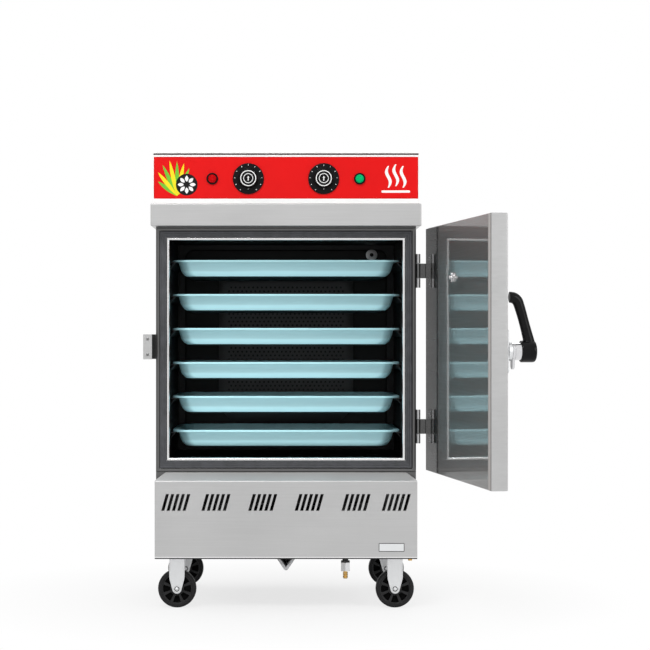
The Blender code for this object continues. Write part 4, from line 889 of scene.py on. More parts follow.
class STEAMER_OT_trays(Maker, bpy.types.Operator):
    """Six pressed trays: one is modelled and the others are its copies"""

    bl_idname = "steamer.trays"
    bl_label = "Trays"

    def execute(self, context):
        low, high, middle, half = span("tray_1")
        rim, corner = size("tray_rim"), size("tray_corner")
        skin, edge, lip = 1, 0.9, 5.5
        flat_x, flat_y = half.x - edge, half.y - edge
        deselect()
        bpy.ops.mesh.primitive_plane_add(size=2)
        first = started("pressed_tray")
        grow(flat_x * MM, flat_y * MM)
        round_corners(corner, 9)
        pick("FACE", lambda at, way: True)
        bpy.ops.mesh.inset(thickness=(rim - edge) * MM)
        # How far the wall lies in from the rim at the sides and at the front, and how deep
        steps = [(0.9, 0.9, -0.3), (1.6, 1.6, -1.1), (2.1, 2.1, -2.2), (5.4, 5, -16), (8.6, 6.4, -26)]
        steps += [(12.6, 7.2, -33), (18, 8.2, -38.6), (23.6, 9.8, -41.8), (29, 11.8, -43.8)]
        steps.append((35, 15, low.z - high.z + skin))
        beside, ahead, drop = rim, rim, 0.0
        for side, front, z in steps:
            side, front = rim + side, rim + front
            pull(z=z - drop)
            grow((half.x - side) / (half.x - beside), (half.y - front) / (half.y - ahead))
            beside, ahead, drop = side, front, z

        def outermost(at, way):
            shares = (abs(at.x) / flat_x, abs(at.y) / flat_y, self.corner_share(at, flat_x, flat_y, corner))
            return at.z > -0.01 and max(shares) > 0.999

        pick("EDGE", outermost)
        reach = 0.0
        for out, z in ((0.55, -0.25), (edge, -0.9), (edge, -lip)):
            pull()
            grow((flat_x + out) / (flat_x + reach), (flat_y + out) / (flat_y + reach))
            levels = [vert.co.z / MM for vert in bmesh.from_edit_mesh(first.data).verts if vert.select]
            move(z=z - sum(levels) / len(levels))
            reach = out
        tidy_mesh()
        thicken(first, skin, ALONG_Z)
        # The faces under the bottom fold get a near-black film: painted shade
        coats(first, "tray_film", tray_shade=lambda at, way: way.z < -0.3 and at.z < -42.2)
        for n in range(1, 7):
            name = f"tray_{n}"
            copy = copy_of(first, f"pressed_{name}")
            settle(copy, (middle.x, middle.y, span(name).high.z))
            deliver(copy, None, "tray_steel", name, body=name, degrees=50, weigh=False)
        bpy.data.objects.remove(first)
        return done()

    def corner_share(self, at, half_x, half_y, corner):
        """How near a point lies to the rounded corner of the outline, as a share of its radius."""
        x, y = abs(at.x) - (half_x - corner), abs(at.y) - (half_y - corner)
        if x <= 0 or y <= 0:
            return 0
        return math.hypot(x, y) / corner + 0.004


class STEAMER_OT_top(Maker, bpy.types.Operator):
    """Canopy and control box"""

    bl_idname = "steamer.top"
    bl_label = "Canopy and control box"

    def execute(self, context):
        sheet("cap", "canopy", "cabinet_steel", "brushed_steel", 2)
        sheet("control_housing", "control_box", "cabinet_steel", "brushed_steel")
        return done()


class STEAMER_OT_panel(Maker, bpy.types.Operator):
    """Control panel with its printed fields and plain motifs"""

    bl_idname = "steamer.panel"
    bl_label = "Control panel"

    def execute(self, context):
        box = span("control_panel")
        self.front = box.low.y
        outline = rounded(box.half.x, box.half.z, 3, 4)
        board = soften(plate("panel_board", outline, box.high.y - box.low.y), 0.5)
        settle(board, seat("control_panel"), TO_FRONT)
        deliver(board, "panel_white", "red_panel", "control_panel")
        fields = (
            ("panel_field_border", "dark_red", 2, 924.7, 1032.7, 0.0),
            ("panel_field", "panel_red", 5, 928.2, 1029.2, 0.05),
            # A dark strip along the panel's top: painted shade at the box's top front edge
            ("panel_top_edge", "panel_edge", 1, 1037.4, 1041.8, 0.12),
        )
        for name, coat, inside, bottom, top, lift in fields:
            field = plate(name, rounded(box.half.x - inside, (top - bottom) / 2, 1.5, 4), 0.07)
            self.print_on(settle(field, (0, (top + bottom) / 2, 0)), name, lift, coat)
        self.leaves()
        self.badge()
        self.steam()
        return done()

    def print_on(self, piece, name, lift, coat):
        settle(piece, (0, self.front - lift, 0), TO_FRONT)
        piece.name = name
        deliver(piece, coat, "red_panel", degrees=30, weigh=False)

    def leaf(self, name, long, wide, at, degrees):
        """A pointed leaf that grows from a point at an angle."""
        side = [(long * t, wide / 2 * math.sin(math.pi * t) ** 0.8) for t in (0.12, 0.3, 0.5, 0.7, 0.86)]
        outline = [(0, 0)] + side + [(long, 0)] + [(x, -y) for x, y in reversed(side)]
        return settle(plate(name, outline, 0.05), (*at, 0), (0, 0, math.radians(degrees)))

    def leaves(self):
        """Long leaves that fan out from one root, each with its length, width and angle."""
        root = (-281, 932)
        groups = {
            "leaf_green": ((62, 11, 143), (88, 11, 115), (90, 10, 90), (78, 10, 66)),
            "leaf_yellow": ((78, 11, 129), (93, 11, 102), (86, 11, 78), (66, 9, 54)),
        }
        for n, (coat, blades) in enumerate(groups.items()):
            made = [
                self.leaf(f"blade_{coat}_{k}", long, wide, root, degrees)
                for k, (long, wide, degrees) in enumerate(blades)
            ]
            self.print_on(fused(made, coat), f"print_{coat}", 0.12 + n * 0.02, coat)

    def badge(self):
        """A black disc with a white ring of drops beside the leaves."""
        at, count = (-256, 961, 0), 8
        disc = settle(plate("disc", arc((0, 0), 28, 0, 352.5, 48), 0.03), at)
        self.print_on(disc, "print_disc", 0.18, "print_black")
        drops = [
            settle(self.leaf(f"drop_{n}", 16, 9, (7.5, 0), 0), at, (0, 0, math.tau * n / count))
            for n in range(count)
        ]
        self.print_on(fused(drops, "drops"), "print_drops", 0.21, "mark_white")

    def steam(self):
        """Three rising wisps over a bar on the right."""
        centre, spread, tall, count = 283, 19, 56, 12
        wisps = []
        for n in range(3):
            x, low = (n - 1) * spread, 953 + (n % 2) * 4
            left, right = [], []
            for k in range(count + 1):
                t = k / count
                sway = 5 * math.sin(math.tau * t)
                wide = 4.6 * math.sin(math.pi * (0.12 + 0.76 * t))
                left.append((x + sway - wide, low + tall * t))
                right.append((x + sway + wide, low + tall * t))
            wisps.append(settle(plate(f"wisp_{n}", left + right[::-1], 0.05), (centre, 0, 0)))
        wisps.append(settle(plate("bar", rounded(37, 3, 3), 0.05), (centre, 943, 0)))
        self.print_on(fused(wisps, "steam"), "print_steam", 0.12, "mark_white")


class STEAMER_OT_knobs(Maker, bpy.types.Operator):
    """Two turned knobs with dial marks and rings"""

    bl_idname = "steamer.knobs"
    bl_label = "Knobs"

    def execute(self, context):
        for name in ("timer_knob", "thermostat_knob"):
            self.knob(name)
        return done()

    def knob(self, name):
        at = seat(name)
        radius, tall = disc(name)
        skirt, dish = 5, tall - 2.2
        # Heights from the top of the cap, then from the top of the skirt
        cap = ((0, -2.2), (9.5, -2.2), (10, -1.6), (10.4, -0.2), (11, 0), (21, 0), (22.2, -0.4), (23, -1.4))
        grip = ((24.6, 5), (25.4, 3.4), (27, 2.8), (28, 1.8), (28.4, 0.5), (29.2, 0))
        foot = ((radius - 1.8, 0), (radius - 0.7, -0.4), (radius, -1.4), (radius, -skirt), (0, -skirt))
        profile = [(r, tall + h) for r, h in cap] + [(r, skirt + h) for r, h in grip + foot]
        body = settle(turned(name, profile, 72), at, TO_FRONT)
        deliver(body, "black_plastic", "black_plastic", name, body=name)
        marks = [
            self.ring(name + "_outer_ring", 18.2, 20.4, tall),
            self.ring(name + "_inner_ring", 11, 12.6, tall),
            *self.dial(name, radius, skirt),
            self.dot(name + "_pointer", 1.6, (0, -26, skirt + 2.95)),
            self.arrow(name, dish),
        ]
        made = settle(fused(marks, name + "_marks"), at, TO_FRONT)
        deliver(made, "mark_white", "black_plastic", body=name)

    def ring(self, name, inner, outer, lift):
        low, high = lift - 0.18, lift + 0.02
        return turned(name, [(inner, low), (inner, high), (outer, high), (outer, low), (inner, low)], 64)

    def dot(self, name, radius, spot):
        high, sunk = 0.12, -0.4
        profile = [(0, high), (radius * 0.8, high), (radius, 0.02), (radius, sunk), (0, sunk)]
        return settle(turned(name, profile, 20), spot)

    def dial(self, name, radius, skirt):
        """Marks round the skirt, longer at every third."""
        made = []
        count = bpy.context.scene.steamer_sizes.ticks
        gap, turn = 36, 288
        for n in range(count):
            angle = math.radians(gap - 90 + turn * n / (count - 1))
            long = 2.6 if n % 3 else 3.6
            mark = plate(f"{name}_mark_{n}", rounded(long / 2, size("tick") / 2, 0.5, 3), 0.08)
            settle(mark, (radius - 5, 0, skirt - 0.02))
            made.append(settle(mark, turn=(0, 0, angle)))
        return made

    def arrow(self, name, lift):
        outline = [(-1.3, -6), (1.3, -6), (1.3, 1.5), (3.1, 1.5), (0, 6), (-3.1, 1.5), (-1.3, 1.5)]
        return settle(plate(name + "_arrow", outline, 0.15), (0, 0, lift - 0.03))


class STEAMER_OT_lamps(Maker, bpy.types.Operator):
    """Two indicator lamps"""

    bl_idname = "steamer.lamps"
    bl_label = "Lamps"

    def execute(self, context):
        for side in ("red", "green"):
            bezel, lens = f"lamp_{side}_bezel", f"lamp_{side}_lens"
            at = seat(bezel)
            radius, proud = disc(bezel)
            inner, top = disc(lens)
            wall = inner + 0.2
            ring = [
                (wall, 0), (wall, proud - 1.4), (inner + 1.2, proud - 0.3), (inner + 1.9, proud),
                (radius - 1.1, proud - 0.2), (radius - 0.3, proud - 1), (radius, proud - 2.2),
                (radius, 0), (wall, 0),
            ]
            made = settle(turned(f"{side}_bezel", ring, 56), at, TO_FRONT)
            deliver(made, "black_plastic", "black_plastic", bezel)
            shares = (
                (0, 1), (0.3, 0.985), (0.52, 0.93), (0.55, 0.86), (0.6, 0.86), (0.64, 0.9),
                (0.82, 0.8), (0.94, 0.66), (0.99, 0.5), (1, 0), (0, 0),
            )
            dome = [(inner * r, top * h) for r, h in shares]
            made = settle(turned(f"{side}_lens", dome, 56), at, TO_FRONT)
            deliver(made, f"{side}_lens", f"{side}_lens", lens)
        return done()


class STEAMER_OT_door(Maker, bpy.types.Operator):
    """Door pan and its polished inner panel"""

    bl_idname = "steamer.door"
    bl_label = "Door"

    def execute(self, context):
        pan = from_solid("door_pan", "door_outer_pan", 1.2, 0.25)
        inward = Matrix.Rotation(DOOR_TURN, 3, "Z") @ Vector((0, 1, 0))
        # Faces of the pan that look into the door get darkened polish: painted shade
        coats(pan, "cabinet_steel", door_return=lambda at, way: way.dot(inward) > 0.8)
        deliver(pan, None, "brushed_steel", "door_outer_pan", body="door")
        sheet("door_lining", "door_inner_panel", "polished_sheet", "door_liner_steel", 1, 0.2, "door")
        dress(["door_insulation"], "mineral_wool")
        return done()


class STEAMER_OT_relief_valve(Maker, bpy.types.Operator):
    """Valve through the door: a cap outside, a lobed nut inside"""

    bl_idname = "steamer.relief_valve"
    bl_label = "Relief valve"

    def execute(self, context):
        at = (-324.995, -65, 714)
        through, stem, flange = -46, 6, 12.5
        under = through - 0.3
        profile = [(0, 5.3), (9.5, 5.3), (10.6, 4.9), (12.2, 3.6), (12.5, 2.6), (12.5, 0.3), (6, 0.3)]
        profile += [(stem, under), (flange, under), (flange, under - 1.5)]
        profile += [(flange - 0.5, under - 2), (0, under - 2)]
        shaft = turned("valve_body", profile, 40)
        lobes, count = [], 48
        for n in range(count):
            angle = math.tau * n / count
            reach = 8.6 + 3.2 * math.cos(4 * angle)
            lobes.append((reach * math.cos(angle), reach * math.sin(angle)))
        nut = soften(plate("lobed_nut", lobes, 3.4), 1, 3, 50)
        settle(nut, (0, 0, under - 2.1), (HALF_TURN, 0, 0))
        profile = [(0, 9), (3.4, 9), (4.4, 8.2), (4.4, 5.2), (5.6, 4.6), (5.6, 0), (0, 0)]
        stub = settle(turned("valve_stub", profile, 28), (0, 0, under - 1.7), (HALF_TURN, 0, 0))
        made = settle(fused([shaft, nut, stub], "valve"), at, TO_FRONT)
        deliver(on_door(made), "chrome", "chrome", "relief_valve", body="door")
        return done()


class STEAMER_OT_handle(Maker, bpy.types.Operator):
    """Base, chrome boss with its tongue, and the black lever"""

    bl_idname = "steamer.handle"
    bl_label = "Handle"

    def execute(self, context):
        self.base()
        self.boss()
        self.lever()
        return done()

    def to_door(self, piece):
        """Local Z looks out of the door and local Y is up."""
        return on_door(settle(piece, (-655.5, -65, 535.883), TO_FRONT))

    def base(self):
        base = plate("latch_base", rounded(20, 50.5, 8, 6), 4, 0.3)
        step_in(base, upper, (2, 1.2))
        soften(base, 0.6)
        profile = [(0, 14.2), (20.6, 14.2), (22, 13.2), (22.4, 11.6), (22.4, 8), (23.4, 6.4)]
        profile += [(23.8, 5.2), (0, 5.2)]
        made = fused([base, turned("latch_collar", profile, 56)], "latch_base")
        deliver(self.to_door(made), "zinc", "chrome", "handle_base", body="door")
        heads = [settle(screw_head(f"latch_screw_{n}", 5, 3), (0, y, 5.4)) for n, y in enumerate((-40, 40))]
        heads = fused(heads, "latch_screws")
        deliver(self.to_door(heads), "dull_zinc", "chrome", body="door")

    def boss(self):
        profile = [
            (0, 42), (18.6, 42), (20, 40.8), (20, 22), (19.3, 21.4), (19.3, 20.6), (20, 20), (20, 15.5),
            (19.2, 14.6), (0, 14.5),
        ]
        boss = turned("latch_boss", profile, 64)
        half, reach = 10, -31
        tip = arc((0, reach), half, 180, 360, 13)[1:-1]
        outline = [(-half, 0), (-half, reach), *tip, (half, reach), (half, 0)]
        tongue = soften(plate("latch_tongue", outline, 6, 15), 0.9, 3)
        made = self.to_door(fused([boss, tongue], "latch"))
        deliver(made, "chrome", "chrome", "latch_cam", body="handle")

    def lever(self):
        """A cup that fits over the boss, and a tapering arm swept to the turned-in tip."""
        profile = [
            (0, 71), (19, 71), (22.4, 70), (24.4, 67.4), (25, 64), (25, 38), (24.2, 36.3), (23, 36),
            (21.2, 36), (20.4, 36.8), (20.4, 42.4), (0, 42.4),
        ]
        cup = turned("lever_cup", profile, 64)
        heights = (60, 58.3, 55.6, 52.4, 49.2, 45.9, 42.6, 39.2, 35.6)
        path = [(height, 2 + 12 * n) for n, height in enumerate(heights)]
        path += arc((12.6, 104), 20, 15, 90, 8) + [(10.2, 124)]
        wide = [13.6, 13.3, 12.8, 12.3, 11.9, 11.7, 11.6, 11.8, 12.1]
        wide += [12.3, 12.5, 12.7, 12.8, 12.9, 12.9, 12.9, 12.9, 12.9]
        deselect()
        bpy.ops.mesh.primitive_circle_add(vertices=32, radius=1, fill_type="NGON")
        arm = started("lever_arm")
        spots = [Vector((0, y, z)) for z, y in path]
        angles = []
        for n in range(len(spots)):
            step = spots[min(n + 1, len(spots) - 1)] - spots[max(n - 1, 0)]
            angles.append(math.atan2(-step.y, step.z))
        angles[-1] = -math.pi
        grow(wide[0] * MM * 0.94, wide[0] * MM)
        self.roll(arm, angles[0])
        move(*spots[0])
        for n in range(1, len(spots)):
            pull(*(spots[n] - spots[n - 1]))
            share = wide[n] / wide[n - 1]
            grow(share, share, share, spots[n])
            self.roll(arm, angles[n] - angles[n - 1], spots[n])
        tidy_mesh()
        leave()
        cut_away(cup, arm, "UNION")
        apply(cup, "REMESH", mode="VOXEL", voxel_size=0.9 * MM)
        apply(cup, "SMOOTH", factor=0.5, iterations=5)
        cup.name = "lever"
        self.to_door(cup)
        shading = {"degrees": 50, "weigh": False}
        deliver(cup, "lever_plastic", "black_plastic", "handle_lever", body="handle", **shading)

    def roll(self, piece, angle, centre=(0, 0, 0)):
        """Turns the selected section about X, by its own points."""
        turn = Matrix.Rotation(angle, 4, "X")
        centre = Vector(metres(centre))
        for vert in bmesh.from_edit_mesh(piece.data).verts:
            if vert.select:
                vert.co = centre + turn @ (vert.co - centre)
        bmesh.update_edit_mesh(piece.data)


class STEAMER_OT_hinges(Maker, bpy.types.Operator):
    """Two butt hinges with their screws"""

    bl_idname = "steamer.hinges"
    bl_label = "Hinges"

    def execute(self, context):
        body_side, gap, leaf, sunk = 338.5, 0.3, 2.5, 0.1
        parts = (("frame_leaf", "cabinet", "chrome"), ("door_leaf", "door", "hinge_steel"))
        side, heads = [], []
        for level in ("upper", "lower"):
            for part, body, coat in parts:
                solid = f"hinge_{level}_{part}"
                sheet(f"{level}_{part}", solid, coat, "brushed_steel", 0, 0.4, body)
            middle = span(f"hinge_{level}_frame_leaf").middle.z
            side += [(body_side + gap + leaf - sunk, HINGE[1] + 32, middle + z) for z in (-33, 0, 33)]
            heads += [(-3.2, a, middle + z) for a in (-46, -28) for z in (-11, 11)]
        turn = (0, HALF_TURN / 2, 0)
        screws("hinge_screws_body", side, turn, "dull_zinc", size("screw") / 2, 1.5)
        turn = (0, -HALF_TURN / 2, 0)
        screws("hinge_screws_door", heads, turn, "dull_zinc", 3.4, 0.5, "door")
        return done()


class STEAMER_OT_strike(Maker, bpy.types.Operator):
    """Folded strike on the left side, with its two screws, which the tongue turns behind"""

    bl_idname = "steamer.strike"
    bl_label = "Strike"

    def execute(self, context):
        low, high = span("strike_bracket")[:2]
        bracket = from_solid("strike", "strike_bracket", 0, 0)
        # Painted shade: the front faces of the web and flange get darkened steel, and the sides of the screw
        # stubs black
        coats(
            bracket,
            "cabinet_steel",
            tank_steel=lambda at, way: at.y > low.y + 20 and way.y < -0.9,
            shadow_black=lambda at, way: at.y < low.y + 2.4 and way.y > -0.5,
        )
        deliver(bracket, None, "brushed_steel", "strike_bracket")
        spots = [(low.x + 11.4, low.y + 0.1, z) for z in (low.z + 12, high.z - 12)]
        screws("strike_screws", spots, TO_FRONT, "hinge_steel", size("screw") / 2, 0.8)
        return done()


class STEAMER_OT_casters(Maker, bpy.types.Operator):
    """Four pressed forks: one is modelled and copied"""

    bl_idname = "steamer.casters"
    bl_label = "Caster forks"
    axle = -88

    def execute(self, context):
        top = span("caster_fork_fl").high.z
        mount = soften(plate("fork_plate", rounded(45, 37.5, 7), 3, top - 3), 0.5)
        race = [(0, -1.5), (15.5, -1.5), (16.6, -2.6), (16.6, -6), (14.5, -8.2), (11, -8.8)]
        race += [(10, -10.5), (6, -11), (0, -11)]
        parts = [mount, turned("fork_race", race, 40)]
        parts += [self.leg(side, top) for side in (-1, 1)]
        parts += [self.nut((x, y)) for x in (-35, 35) for y in (-27.5, 27.5)]
        parts += [self.axle_end(side) for side in (-1, 1)]
        first = fused(parts, "fork")
        # Dark rings round the axle ends: painted shade round the rivets
        rings = []
        for name in CORNERS:
            middle = span(f"caster_fork_{name}").middle
            ring = turned(f"axle_ring_{name}", [(0, 0.4), (6.6, 0.4), (7, 0), (0, 0)], 32)
            settle(ring, (0, 0, 20.9))
            rings.append(settle(ring, (middle.x, middle.y, self.axle), TO_FRONT))
        deliver(fused(rings, "axle_rings"), "shadow_black", "zinc")
        for name in CORNERS:
            middle = span(f"caster_fork_{name}").middle
            copy = settle(copy_of(first, f"fork_{name}"), (middle.x, middle.y, 0))
            deliver(copy, "zinc", "zinc", f"caster_fork_{name}")
        bpy.data.objects.remove(first)
        return done()

    def leg(self, side, top):
        """A pressed leg with a raised border, rounded round the axle."""
        half, eye, knee = 20, 12, top - 63
        right = [(half - 0.6, knee), (half, knee + 8), (half, top - 1)]
        left = [(-x, y) for x, y in reversed(right)]
        leg = plate("fork_leg", left + arc((0, self.axle), eye, 195, 345, 13) + right, 3)
        step_in(leg, upper, (2.8, -1.2), (1, 0))
        soften(leg, 0.35)
        return settle(leg, (0, side * 18, 0), (*TO_FRONT[:2], 0 if side < 0 else HALF_TURN))

    def nut(self, spot):
        """A hex nut with its bolt end under the plate."""
        nut = soften(plate("fork_nut", arc((0, 0), 6.5, 0, 300, 6), 5.5, -5.5), 0.5)
        bolt = turned("fork_bolt", [(0, -7.6), (3.2, -7.6), (3.9, -7), (3.9, -5.6), (3.6, -5), (0, -5)], 20)
        return settle(fused([nut, bolt], "fork_nut"), (*spot, -1.2))

    def axle_end(self, side):
        rivet = turned("axle_rivet", [(0, 0), (5.2, 0), (5.2, 1.2), (4.4, 2.6), (2.6, 3.4), (0, 3.6)], 32)
        washer = turned("axle_washer", [(0, 0.9), (8.6, 0.9), (9, 0.5), (9, 0), (0, 0)], 32)
        shaft = turned("axle_shaft", [(0, 0.3), (4.9, 0.3), (4.9, -21), (0, -21)], 24)
        made = settle(fused([rivet, washer, shaft], "axle_end"), (0, 0, 20.3))
        return settle(made, (0, 0, self.axle), (-side * TO_FRONT[0], 0, 0))


class STEAMER_OT_wheels(Maker, bpy.types.Operator):
    """Four wheels with eight pockets in each side: one is modelled and copied"""

    bl_idname = "steamer.wheels"
    bl_label = "Wheels"

    def execute(self, context):
        half = [
            (5.3, 17.7), (12.2, 17.7), (13, 17), (13.4, 12.6), (14.6, 11.8), (16.5, 11.6), (37.6, 11.6),
            (38.6, 12.2), (39.2, 14.2), (40.4, 15), (45.6, 15), (47.4, 14.4), (48.8, 12.8),
            (49.6, 9.6), (50, 5),
        ]
        profile = half + [(50, 0)] + [(r, -h) for r, h in reversed(half)] + [half[0]]
        first = turned("wheel", profile, 80)
        hub, rim, count = 16, 38, 8
        for side in (1, -1):
            for n in range(count):

                def in_pocket(at, way, middle=360 * n / count, side=side):
                    turn = (math.degrees(math.atan2(at.y, at.x)) - middle + 180) % 360 - 180
                    return way.z * side > 0.9 and hub < math.hypot(at.x, at.y) < rim and abs(turn) < 16.5

                step_in(first, in_pocket, (0.9, -side * 0.6), (0.3, -side * 6.5))
        soften(first, 0.35, 2, 40)
        coats(
            first,
            "hub_plastic",
            tyre=lambda at, way: math.hypot(at.x, at.y) > 39,
            shadow_black=lambda at, way: hub < math.hypot(at.x, at.y) < 37.5 and abs(at.z) < 10.9,
        )
        for name in CORNERS:
            wheel = f"wheel_{name}"
            copy = settle(copy_of(first, f"rolling_{wheel}"), span(wheel).middle, TO_FRONT)
            deliver(copy, None, "wheel_rubber", wheel, body=wheel)
        bpy.data.objects.remove(first)
        return done()


class STEAMER_OT_gutter(Maker, bpy.types.Operator):
    """Drain gutter under the base"""

    bl_idname = "steamer.gutter"
    bl_label = "Drain gutter"

    def execute(self, context):
        sheet("gutter", "drain_gutter", "grey_plastic", "gutter_plastic", 0, 0.8)
        return done()


class STEAMER_OT_inlets(Maker, bpy.types.Operator):
    """Gas connection with its nut and barbed tail, and the water connection"""

    bl_idname = "steamer.inlets"
    bl_label = "Inlets"

    def execute(self, context):
        bore = 3.5
        box = span("gas_inlet_barb")
        x, y, top = box.middle.x, box.middle.y, box.high.z
        profile = [(bore, 0), (7.5, 0), (7.5, -12.6), (8.4, -13.5), (11.2, -13.5), (11.5, -14)]
        profile += [(11.5, -17), (11, -17.5), (5.7, -17.5)]
        for z in (-44, -49, -54):
            profile += [(5.4, z), (6.3, z - 0.3), (6.8, z - 0.9), (5.5, z - 4.6)]
        profile += [(5.2, -59.4), (4.7, -59.9), (bore, -59.9), (bore, 0)]
        tail = turned("gas_tail", profile, 40)
        # The collar at the top of the tail is dark: painted shade under the base
        coats(tail, "brass", iron=lambda at, way: at.z > -17.8)
        deliver(settle(tail, (x, y, top)), None, "brass", "gas_inlet_barb")
        low, high = span("gas_inlet_nut")[:2]
        bottom, top, across, chamfer, slope = low.z, high.z, 13.6, 2.2, 2.4
        nut = plate("gas_nut", arc((0, 0), 12.96, 0, 300, 6), top - bottom, bottom)
        settle(nut, turn=(0, 0, HALF_TURN / 6))
        ends = across - chamfer
        skirt = [(0, top), (ends, top), (across, top - slope)]
        skirt += [(across, bottom + slope), (ends, bottom), (0, bottom)]
        cut_away(nut, turned("nut_chamfer", skirt), "INTERSECT")
        hole = [(0, top + 1), (5.95, top + 1), (5.95, bottom - 1), (0, bottom - 1)]
        cut_away(nut, turned("nut_bore", hole, 40))
        soften(nut, 0.25, 1)
        # Painted shade by facing: the nut's side faces get darker plating, and its left front face plain
        # steel beside the chrome of its right front face
        coats(
            nut,
            "chrome",
            hinge_steel=lambda at, way: abs(way.x) > 0.6,
            cabinet_steel=lambda at, way: -0.6 < way.x < -0.3,
        )
        deliver(settle(nut, (x, y, 0)), None, "zinc", "gas_inlet_nut")
        box = span("water_inlet")
        radius, end = box.half.x, box.low.z - box.high.z
        profile = [(bore, 0), (radius, 0), (radius, end + 3), (radius - 0.5, end + 2.6), (radius, end + 2)]
        profile += [(radius - 0.2, end + 0.6), (radius - 0.8, end), (bore, end), (bore, 0)]
        tail = settle(turned("water_tail", profile, 32), (box.middle.x, box.middle.y, box.high.z))
        deliver(tail, "brass", "brass", "water_inlet")
        return done()


class STEAMER_OT_inside(Maker, bpy.types.Operator):
    """Finishes of the pieces inside the cabinet whose own shape stays"""

    bl_idname = "steamer.inside"
    bl_label = "Inside"

    def execute(self, context):
        dress(["wall_insulation"], "mineral_wool")
        # The tank's steel is darkened: painted shade inside the cabinet
        dress(["water_tank"], "tank_steel")
        dress(["heating_element_left", "heating_element_right", "timer_body", "thermostat_body"], "dull_zinc")
        dress(["steam_plate"], "chamber_sheet")
        dress(["gas_burner"], "iron")
        return done()


class STEAMER_OT_stage(Maker, bpy.types.Operator):
    """Floor, world, lamps and the camera"""

    bl_idname = "steamer.stage"
    bl_label = "Stage"

    def execute(self, context):
        self.floor()
        self.world()
        self.lamp("front", (-0.5, -5.6, 0.4), 2.6, 69).visible_glossy = False
        self.lamp("key", (-0.9, -3.4, 3.6), 1.5, 70)
        self.lamp("fill", (3.0, -3.0, 1.8), 2.0, 28)
        self.lamp("back", (0.4, 3.0, 3.4), 2.4, 40)
        self.camera()
        context.scene.view_settings.view_transform = "Standard"
        return done()

    def blank(self, holder):
        """An empty node tree."""
        holder.use_nodes = True
        holder.node_tree.nodes.clear()
        return holder.node_tree

    def seen(self, tree):
        """1 for rays that should meet the white background."""
        path = add(tree, "LightPath").node.outputs
        either = maths(tree, "MAXIMUM", path["Is Camera Ray"], path["Is Glossy Ray"])
        return maths(tree, "MAXIMUM", either, path["Is Transmission Ray"])

    def floor(self):
        """A round floor that keeps the shadow near the cabinet and is white further away."""
        deselect()
        low = CAD_BOX[0][2]
        spot = (0, 0, low)
        bpy.ops.mesh.primitive_circle_add(vertices=128, radius=7, fill_type="NGON", location=spot)
        ground = bpy.context.object
        ground.name = "ground"
        bpy.ops.object.transform_apply(location=True, rotation=True, scale=True)
        paint = bpy.data.materials.new("ground_paint")
        tree = self.blank(paint)
        far = add(tree, "VectorMath", [add(tree, "TexCoord", out="Object")], "Value", operation="LENGTH")
        plain, mirrored = ranged(tree, far, 0.72, 1, 0.2, 0.95), ranged(tree, far, 0, 1, 0.34, 0.62)
        glossy = add(tree, "LightPath", out="Is Glossy Ray")
        share = add(tree, "Mix", {"Factor": glossy, "A": plain, "B": mirrored})
        share = maths(tree, "MULTIPLY", share, self.seen(tree))
        matt = add(tree, "BsdfDiffuse", {"Color": (0.86, 0.86, 0.86, 1)})
        glow = add(tree, "Emission", {"Color": WHITE})
        add(tree, "OutputMaterial", {"Surface": add(tree, "MixShader", [share, matt, glow])})
        ground.data.materials.append(paint)

    def world(self):
        world = bpy.data.worlds.new("studio")
        bpy.context.scene.world = world
        tree = self.blank(world)
        light = add(tree, "Background", {"Color": WHITE, "Strength": 0.52})
        white = add(tree, "Background", {"Color": WHITE, "Strength": self.shade(tree)})
        add(tree, "OutputWorld", {"Surface": add(tree, "MixShader", [self.seen(tree), light, white])})

    def shade(self, tree):
        """White all round, with a grey screen behind on each side that only reflections meet."""
        parts = add(tree, "SeparateXYZ", [add(tree, "TexCoord", out="Generated")]).node.outputs
        height = maths(tree, "ABSOLUTE", parts["Z"])
        dark = add(tree, "LightPath", out="Is Glossy Ray")
        edges = (
            (parts["Y"], 0.0, 0.7, 0.12, 0.4),
            (parts["Y"], 1.0, 0.0, 0.96, 0.995),
            (height, 1.0, 0.0, 0.35, 0.8),
        )
        for edge in edges:
            dark = maths(tree, "MULTIPLY", dark, ranged(tree, *edge, interpolation_type="SMOOTHSTEP"))
        return maths(tree, "SUBTRACT", 1.0, dark)

    def lamp(self, name, at, width, watts):
        deselect()
        bpy.ops.object.light_add(type="AREA", location=at)
        lamp = bpy.context.object
        lamp.name = name
        lamp.data.shape = "DISK"
        lamp.data.size = width
        lamp.data.energy = watts
        aim = Vector((0, 0, 0.5)) - Vector(at)
        lamp.rotation_euler = aim.to_track_quat("-Z", "Y").to_euler()
        return lamp

    def camera(self):
        """The photograph's level camera."""
        deselect()
        distance, height = 5.413, 0.577
        bpy.ops.object.camera_add(location=(0, -distance, height), rotation=TO_FRONT)
        camera = bpy.context.object
        camera.name = "front_camera"
        camera.data.sensor_width = 36
        camera.data.lens = 109.94
        camera.data.shift_x = 0.06
        camera.data.shift_y = 0.0131
        bpy.context.scene.camera = camera


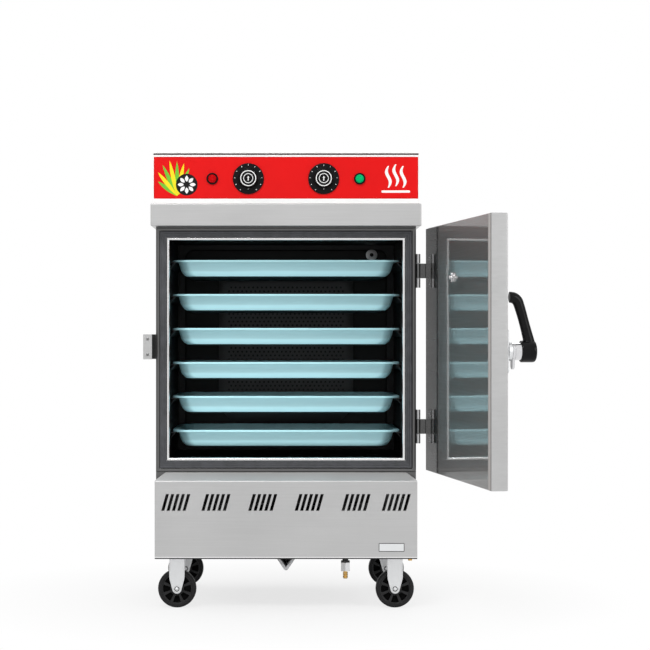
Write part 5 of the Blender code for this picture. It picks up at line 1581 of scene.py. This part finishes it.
class STEAMER_PT_pieces(bpy.types.Panel):
    """The cabinet's pieces, sizes and colours"""

    bl_idname = "STEAMER_PT_pieces"
    bl_label = "Steaming cabinet"
    bl_space_type = "VIEW_3D"
    bl_region_type = "UI"
    bl_category = "Steamer"

    def draw(self, context):
        column = self.layout.column(align=True)
        for maker in MAKERS:
            column.operator(maker.bl_idname)
        for group in (context.scene.steamer_sizes, context.scene.steamer_colours):
            column = self.layout.column()
            for name in group.__annotations__:
                column.prop(group, name)


MAKERS = (
    STEAMER_OT_stage,
    STEAMER_OT_base,
    STEAMER_OT_rating_plate,
    STEAMER_OT_body,
    STEAMER_OT_chamber,
    STEAMER_OT_duct,
    STEAMER_OT_steam_port,
    STEAMER_OT_trays,
    STEAMER_OT_top,
    STEAMER_OT_panel,
    STEAMER_OT_knobs,
    STEAMER_OT_lamps,
    STEAMER_OT_door,
    STEAMER_OT_relief_valve,
    STEAMER_OT_handle,
    STEAMER_OT_hinges,
    STEAMER_OT_strike,
    STEAMER_OT_casters,
    STEAMER_OT_wheels,
    STEAMER_OT_gutter,
    STEAMER_OT_inlets,
    STEAMER_OT_inside,
)
CLASSES = (SteamerSizes, SteamerColours, *MAKERS, STEAMER_PT_pieces)


def register():
    for item in CLASSES:
        bpy.utils.register_class(item)
    bpy.types.Scene.steamer_sizes = bpy.props.PointerProperty(type=SteamerSizes)
    bpy.types.Scene.steamer_colours = bpy.props.PointerProperty(type=SteamerColours)


def unregister():
    del bpy.types.Scene.steamer_colours
    del bpy.types.Scene.steamer_sizes
    for item in reversed(CLASSES):
        bpy.utils.unregister_class(item)


def plain(box):
    return [[float(value) for value in corner] for corner in box]


def main():
    register()
    bpy.ops.steamer.stage()
    bpy.ops.steamer.base()
    bpy.ops.steamer.rating_plate()
    bpy.ops.steamer.body()
    bpy.ops.steamer.chamber()
    bpy.ops.steamer.duct()
    bpy.ops.steamer.steam_port()
    bpy.ops.steamer.trays()
    bpy.ops.steamer.top()
    bpy.ops.steamer.panel()
    bpy.ops.steamer.knobs()
    bpy.ops.steamer.lamps()
    bpy.ops.steamer.door()
    bpy.ops.steamer.relief_valve()
    bpy.ops.steamer.handle()
    bpy.ops.steamer.hinges()
    bpy.ops.steamer.strike()
    bpy.ops.steamer.casters()
    bpy.ops.steamer.wheels()
    bpy.ops.steamer.gutter()
    bpy.ops.steamer.inlets()
    bpy.ops.steamer.inside()


if __name__ == "__main__":
    main()
